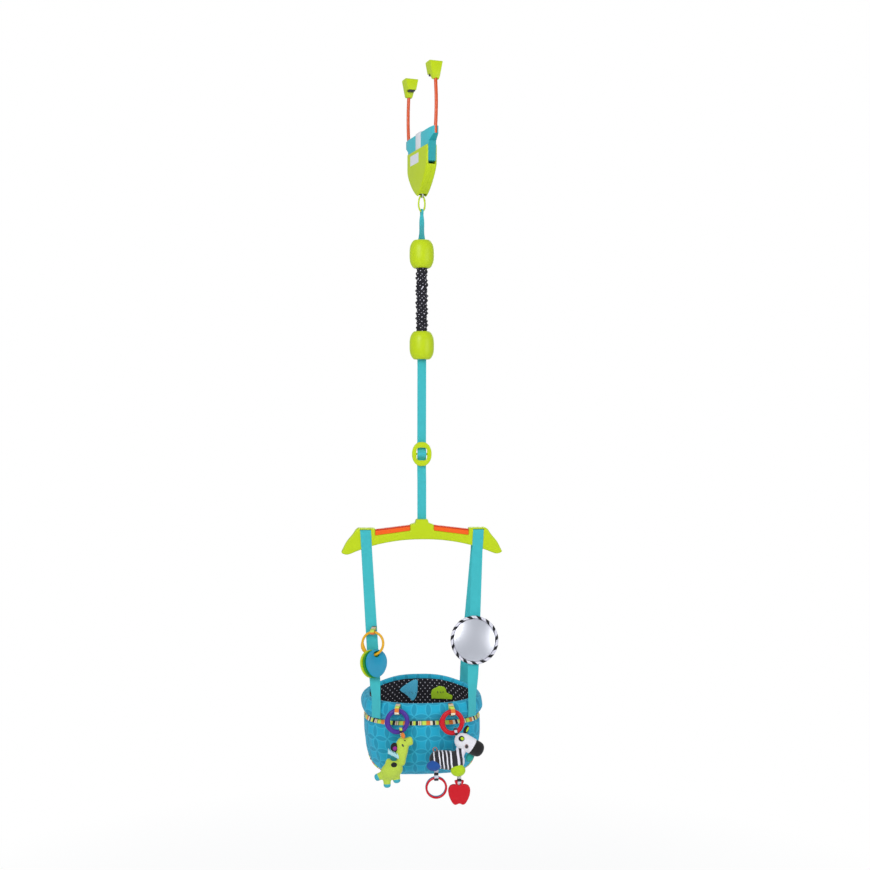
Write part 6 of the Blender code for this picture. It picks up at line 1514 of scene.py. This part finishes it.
purpleCentre = ringCentre(-0.0605, 0.0375)
redCentre = ringCentre(0.0580, 0.0415)


def hangPoint(centre):
    # Where a toy's ribbon lies on its ring: 70 degrees below the right
    angle = math.radians(toyRing["hangDeg"])
    return centre + toyRing["radius"] * np.array([math.cos(angle), 0, toyRing["tall"] * math.sin(angle)])


def dressToyRings():
    # Each ring hangs in a ribbon tab that is sewn on the rim and turned to its direction
    for centre, tabNode, ringNode, body, share, key, slotName, claspDeg, grooves in (
            (purpleCentre, "toy_tab_left", "purple_ring", "left_ring", 0.88, "purple", "purple_plastic", 195, 0),
            (redCentre, "toy_tab_right", "red_ring", "right_ring", 0.92, "red", "red_plastic", 185, 13)):
        wire = centre + (0, 0, toyRing["radius"] * toyRing["tall"])
        wall = planDepth(centre[0], 0.0)
        sewn = (centre[0], seat["shift"] - wall - seat["bulge"] * share, level["rimTop"] - seat["rimHeight"] * 0.075)
        turnDeg = math.copysign(math.degrees(wallAngle(abs(centre[0]))), centre[0])
        rows = ribbonRows(sewn, wire, toyRing["wire"] + toyRing["tabRoom"], toyRing["tabWidth"], link["tabThickness"],
                          turnDeg)
        tab = strapPiece(tabNode + "_look", rows, link["tabThickness"], materials["ribbon"], True)
        dress(tab, "seat", "striped_ribbon", tabNode)
        ring = linkPiece(ringNode + "_look", centre, toyRing["radius"], toyRing["wire"], toyRing["clasp"], 0.0,
                         claspDeg, toyRing["tall"], materials[key], grooves)
        dress(ring, body, slotName, ringNode)


def toyRibbon(name, sewn, wire, clear, width, body, material):
    # A ribbon 1 mm thick, sewn into a toy and looped round a wire
    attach(strapPiece(name, ribbonRows(sewn, wire, clear, width, 0.0010), 0.0010, material, True), body)


def hangingRibbon(name, sewn, hang, body, material):
    # The ribbon that a toy hangs by
    toyRibbon(name, sewn, hang, toyRing["wire"] + toyRing["ribbonRoom"], toyRing["ribbonWidth"], body, material)


def addBalls(body, rows):
    # Sewn-on parts of a toy: each row is name, centre, half lengths, tilt in degrees, material
    for name, centre, sizes, tilt, material in rows:
        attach(ballPiece(name, centre, sizes, material, tilt), body)


def felt(name, hexText, tuftShadeHex):
    # Pile cloth with a short nap, and painted shade between its tufts
    return pileCloth(name, hexText, tuftShadeHex, 0.0012, 0.0003)


giraffe = dict(width=0.088, height=0.120, depth=0.028)
limbShares = [1.0, 0.95, 0.90, 1.0]


def dressGiraffe():
    # Trunk, hump and three legs in one form, head and muzzle in another, with felt parts and a ruffle
    hang = hangPoint(purpleCentre)

    def at(across, down, forward=0.1):
        return hang + (across * giraffe["width"], -forward * giraffe["depth"], -down * giraffe["height"])
    feet = [at(-0.64, 0.83), at(-0.33, 1.0), at(-0.09, 0.92)]
    plush = pileCloth("lime plush", "BED64A", "98B42C", 0.0016, 0.0004)
    withSpots(plush, [(tuple(foot), 0.0115, "38A8B8") for foot in feet])
    legs = [(at(-0.34, 0.74), feet[0]), (at(-0.34, 0.80), feet[1]), (at(-0.12, 0.72), feet[2])]
    width, depth = giraffe["width"], giraffe["depth"]
    forms = [(at(-0.01, 0.55), at(-0.43, 0.80), [0.80, 1.0, 1.0, 0.92, 0.80], width * 0.44, depth),
             (at(-0.27, 0.70), at(-0.30, 0.47), [1.0, 0.95, 0.75, 0.45], width * 0.26, depth * 0.5)]
    forms += [(start, end, limbShares, width * 0.20, depth * 0.55) for start, end in legs]
    body = stuffedPiece("giraffe_body_look", forms, plush)
    dress(body, "giraffe", "lime_plush", "giraffe_body")
    headPlush = pileCloth("lime head plush", "C6DC4C", "9DB82E", 0.0016, 0.0004)
    forms = [(at(0.06, 0.09), at(-0.01, 0.62), [0.72, 1.0, 0.90, 0.72, 0.80], width * 0.34, depth * 0.72),
             (at(0.02, 0.20), at(0.30, 0.16), limbShares, width * 0.24, depth * 0.55)]
    head = stuffedPiece("giraffe_head_look", forms, headPlush)
    dress(head, "giraffe", "lime_plush", "giraffe_head")
    front = hang[1] - 0.1 * depth - depth * 0.36
    black = felt("black felt", "14130F", "050505")
    addBalls("giraffe", (
        ("giraffe_horn", (-0.0487, front + 0.0018, -1.4328), (0.0042, 0.0036, 0.0068), -12,
         felt("orange felt", "E8842A", "B85A18")),
        ("giraffe_eye", (-0.0492, front + 0.0006, -1.4537), (0.0019, 0.0014, 0.0034), -28, materials["rubber"]),
        ("giraffe_brow", (-0.0448, front + 0.0010, -1.4431), (0.0022, 0.0010, 0.0010), 20, black),
        ("giraffe_mane", (-0.0672, front + 0.0065, -1.4592), (0.0085, 0.0038, 0.0105), 0, black),
        ("giraffe_mane_spot", (-0.0662, front + 0.0032, -1.4604), (0.0046, 0.0016, 0.0046), 0,
         felt("magenta felt", "9A1F8C", "6A1462")),
        ("giraffe_collar", (-0.0690, front + 0.0055, -1.4830), (0.0072, 0.0042, 0.0058), 20,
         felt("dark teal cloth", "0F7F7C", "0A5C5A")),
        ("giraffe_spot", (-0.0683, front - 0.0030, -1.4937), (0.0064, 0.0016, 0.0056), 0, black)))
    t, turn = np.linspace(0, 1, 60)[:, None], fullTurn(16)
    wave = np.sin(t * 44)
    ripple = 1 + 0.30 * wave
    z = -1.4665 - 0.0125 * t + 0.0008 * wave
    points = inColumns(-0.0810 + 0.0230 * t, front + 0.0035 + 0.0018 * np.cos(turn) * ripple,
                       z + 0.0048 * np.sin(turn) * ripple)
    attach(gridPiece("giraffe_ruffle", points, felt("pale ruffle cloth", "BFE6EA", "7FBFC8")), "giraffe")
    hangingRibbon("giraffe_ribbon", at(0.05, 0.16), hang, "giraffe", materials["ribbon"])


zebra = dict(width=0.120, height=0.094, depth=0.036, forward=0.22)
zebraBands = [(0.0, "E6E2EC"), (0.0050, "1D1B22"), (0.0110, "E6E2EC"), (0.0200, "1D1B22"), (0.0260, "EDEBF2"),
              (0.0285, "1D1B22"), (0.0395, "EDEBF2"), (0.0420, "1D1B22"), (0.0510, "EDEBF2"), (0.0535, "1D1B22"),
              (0.0585, "EDEBF2"), (0.0610, "1D1B22"), (0.0665, "EDEBF2"), (0.0695, "1D1B22"), (0.0755, "EDEBF2"),
              (0.0790, "1D1B22"), (0.0900, "1D1B22")]


def dressZebra():
    # Trunk, neck and legs in one form, head in another, with knit parts and its teethers
    hang = hangPoint(redCentre)

    def at(across, down, forward=zebra["forward"]):
        return hang + (across * zebra["width"], -forward * zebra["depth"], -down * zebra["height"])
    width, depth = zebra["width"], zebra["depth"]
    striped = zebraCotton("striped knit cotton", 0.0110, zebraBands, 0.10)
    forms = [(at(0.16, 0.66), at(-0.48, 0.56), [0.85, 1.0, 1.0, 0.95, 0.75], width * 0.34, depth),
             (at(-0.34, 0.60), at(-0.40, 0.76), limbShares, width * 0.22, depth * 0.45),
             (at(0.02, 0.68), at(0.02, 0.88), limbShares, width * 0.22, depth * 0.45),
             (at(0.13, 0.28), at(0.02, 0.60), limbShares, width * 0.20, depth * 0.60)]
    body = stuffedPiece("zebra_body_look", forms, striped)
    dress(body, "zebra", "white_plush", "zebra_body")
    whitePlush = pileCloth("white plush", "ECEAEE", "C9C6D0", 0.0014, 0.0003)
    splitPile(whitePlush, (0.1004, 0.0, -1.4603), (0.841, 0.0, -0.541), "0C0B0D")
    forms = [(at(-0.01, 0.09), at(0.49, 0.44), [0.78, 1.0, 0.94, 0.92, 0.95], width * 0.31, depth * 0.80)]
    head = stuffedPiece("zebra_head_look", forms, whitePlush)
    dress(head, "zebra", "white_plush", "zebra_head")
    lime = felt("lime knit pad", "B8DA10", "8CAA0C")
    black = felt("black knit cotton", "121114", "060606")
    brown = pileCloth("brown tail cord", "9A7672", "6F504E", 0.0008, 0.0002)
    front = hang[1] - zebra["forward"] * depth
    face = front - depth * 0.40
    addBalls("zebra", (
        ("zebra_pad_rear", (0.0166, front - 0.0120, -1.4962), (0.0155, 0.0075, 0.0112), 0,
         felt("blue knit pad", "1450A0", "0E3C7C")),
        ("zebra_pad_front", (0.0690, front - 0.0125, -1.5070), (0.0160, 0.0080, 0.0130), 0, lime),
        ("zebra_leg_behind", (0.0960, front + 0.0060, -1.4850), (0.0085, 0.0060, 0.0100), 20,
         felt("teal knit cotton", "1FA69A", "14786F")),
        ("zebra_ear_far", (0.0878, front + 0.0010, -1.4235), (0.0055, 0.0030, 0.0098), 25, black),
        ("zebra_ear_far_lining", (0.0905, front - 0.0018, -1.4225), (0.0020, 0.0008, 0.0058), 25, lime),
        ("zebra_ear_near", (0.0762, face + 0.0005, -1.4385), (0.0064, 0.0028, 0.0060), 0, black),
        ("zebra_ear_near_lining", (0.0775, face - 0.0018, -1.4380), (0.0038, 0.0010, 0.0034), 30, lime),
        ("zebra_eye_white", (0.0872, face - 0.0002, -1.4553), (0.0040, 0.0012, 0.0047), 0, brown),
        ("zebra_eye", (0.0874, face - 0.0011, -1.4555), (0.0029, 0.0011, 0.0036), 0, materials["rubber"])))
    turn = fullTurn(48)
    tail = inColumns(0.0205 + 0.0042 * np.cos(turn), front, -1.4650 + 0.0046 * np.sin(turn))
    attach(tubePiece("zebra_tail", tail, 0.0013, brown, 12, True), "zebra")
    hangingRibbon("zebra_ribbon", at(0.05, 0.18), hang, "zebra", materials["toyRibbon"])
    dressTeethers(at(-0.39, 0.72), at(0.015, 0.87))


def dressTeethers(rearPad, frontPad):
    # Two thin rings hang by a ribbon from the rear foot, and the apple from the front one
    teetherWire = rearPad + (0.0045, 0, -0.0270)
    bridge = frontPad + (0.0055, 0, -0.0200)
    for name, wire, sewn, clear, width in (("teether_ribbon", teetherWire, rearPad, 0.0066, 0.0088),
                                           ("apple_ribbon", bridge, frontPad, 0.0063, 0.0080)):
        toyRibbon(name, (wire[0], sewn[1], sewn[2]), wire, clear, width, "zebra", materials["toyRibbon"])
    radius, wire = 0.0212, 0.0023
    for node, shift, key, slotName in (("teether_ring_front", -0.0030, "red", "red_plastic"),
                                       ("teether_ring_rear", 0.0030, "blue", "blue_plastic")):
        middle = teetherWire + (0, shift, -radius)
        ring = linkPiece(node + "_look", middle, radius, wire, wire, 0.0, 0, 1.0, materials[key])
        dress(ring, "teether_rings", slotName, node)
    dressApple(bridge)


apple = dict(width=0.048, height=0.054, thickness=0.009, edge=0.0030, hole=0.0042, bridge=0.0030)
appleShares = [(0.0, 0.0), (0.15, 0.0), (0.44, 0.03), (0.38, 0.13), (0.28, 0.19), (0.54, 0.17), (0.82, 0.22),
               (0.97, 0.32), (1.0, 0.44), (0.95, 0.60), (0.83, 0.75), (0.66, 0.89), (0.49, 0.98), (0.29, 1.0),
               (0.12, 0.955), (0.0, 0.945)]


def dressApple(bridge):
    # Half the outline eased and mirrored, then both rims rounded; a bore under the bridge takes the ribbon
    across, down = np.array(appleShares).T
    z = bridge[2] + apple["bridge"] / 2 - down * apple["height"]
    half = evenPairs(inColumns(across * apple["width"] / 2, z), 0.0008, 6)
    outline = np.vstack([half, half[1:-1][::-1] * (-1, 1)])[::-1]

    def place(a, b, depth):
        return inColumns(a + bridge[0], depth + bridge[1], b)
    layers = roundedLayers(outline, -apple["thickness"] / 2, apple["thickness"] / 2, apple["edge"], 7)
    piece = layeredPiece("apple_teether_look", layers, place, materials["softRed"])
    hole, reach = bridge - (0, 0, apple["bridge"] / 2 + apple["hole"]), np.array([0, 0.02, 0])
    combine(piece, [rodPiece("cutter", hole - reach, hole + reach, apple["hole"], materials["softRed"], 40)])
    dress(piece, "apple", "red_plastic", "apple_teether")


dressToyRings()
dressGiraffe()
dressZebra()
print("toys dressed")

# CAD nodes that stay as they are get their finish through their own slots
for node in ("lever_pin_near", "lever_pin_far", "spring_pin_upper", "spring_pin_lower", "hub_pin"):
    for holder in nodes[node].material_slots:
        holder.link = "OBJECT"
        holder.material = materials["zinc"]

# Stage, light and camera

view = dict(lens=49.66, height=-0.738, distance=2.70, azimuthDeg=-4.0, shiftX=0.0152, shiftY=-0.0264, floor=-2.10)


def shownInstead(tree, share, first, second, output):
    # Sends a mix of two shaders to the output
    shown = addNode(tree, "MixShader", {}, {0: share, 1: first.outputs[0], 2: second.outputs[0]})
    tree.links.new(shown.outputs[0], tree.nodes[output].inputs["Surface"])


def makeFloor():
    # A pale floor that fades to white with the distance, 0.05 + 0.35 r and at least 0.72, for the camera alone
    material, tree, shader = startMaterial("pale studio floor", "F2F3F4", 0.8)
    bumpFrom(tree, shader, noiseOf(tree, objectPlace(tree), 0.004), 0.0002, 0.2)
    far = addNode(tree, "VectorMath", {"operation": "LENGTH"}, {0: objectPlace(tree)}).outputs["Value"]
    fade = mathOf(tree, "MINIMUM", mathOf(tree, "MAXIMUM", mathOf(tree, "MULTIPLY_ADD", far, 0.35, 0.05), 0.72), 1.0)
    cameraRay = addNode(tree, "LightPath", {}, {}).outputs["Is Camera Ray"]
    glow = addNode(tree, "Emission", {"Color": (1.0, 1.0, 1.0, 1.0), "Strength": 1.0}, {})
    shownInstead(tree, mathOf(tree, "MULTIPLY", cameraRay, fade), shader, glow, "Material Output")
    boxPiece("studio_floor", (-6, -6, view["floor"] - 0.02), (6, 6, view["floor"]), material)


def makeWorld():
    # Soft light from all sides, and plain white where the camera looks past the floor
    world = bpy.data.worlds.new("white studio")
    bpy.context.scene.world = world
    world.use_nodes = True
    tree = world.node_tree
    lit = tree.nodes["Background"]
    tune(lit, {"Color": (0.86, 0.90, 0.96, 1.0), "Strength": 0.56})
    seen = addNode(tree, "Background", {"Color": (1.0, 1.0, 1.0, 1.0), "Strength": 1.0}, {})
    cameraRay = addNode(tree, "LightPath", {}, {}).outputs["Is Camera Ray"]
    shownInstead(tree, cameraRay, lit, seen, "World Output")


def placed(name, data, place, rotation):
    # An object of the studio in the scene
    thing = bpy.data.objects.new(name, data)
    bpy.context.scene.collection.objects.link(thing)
    thing.location = place
    thing.rotation_euler = rotation.to_euler()
    return thing


def makeLamps():
    # Three round lamps, each turned to the middle of the object
    for name, place, size, power in (("key", (-1.6, -2.6, 0.6), 1.8, 55.0), ("fill", (2.4, -2.2, -0.6), 2.2, 27.0),
                                     ("back", (0.6, 2.6, 0.4), 2.0, 24.0)):
        data = bpy.data.lights.new(name, "AREA")
        data.shape = "DISK"
        data.size = size
        data.energy = power
        placed(name, data, place, (Vector((0, 0, -0.85)) - Vector(place)).to_track_quat("-Z", "Y"))


def makeCamera():
    # Level, a little to the left of the front, with the photo's shift
    data = bpy.data.cameras.new("photo camera")
    data.lens = view["lens"]
    data.sensor_width = 36.0
    data.shift_x = view["shiftX"]
    data.shift_y = view["shiftY"]
    turn = math.radians(view["azimuthDeg"])
    back = Vector((math.sin(turn), -math.cos(turn), 0))
    place = back * view["distance"] + Vector((0, 0, view["height"]))
    bpy.context.scene.camera = placed("photo camera", data, place, (-back).to_track_quat("-Z", "Y"))


makeFloor()
makeWorld()
makeLamps()
makeCamera()
bpy.context.scene.view_settings.view_transform = "Standard"
print("stage and camera ready")
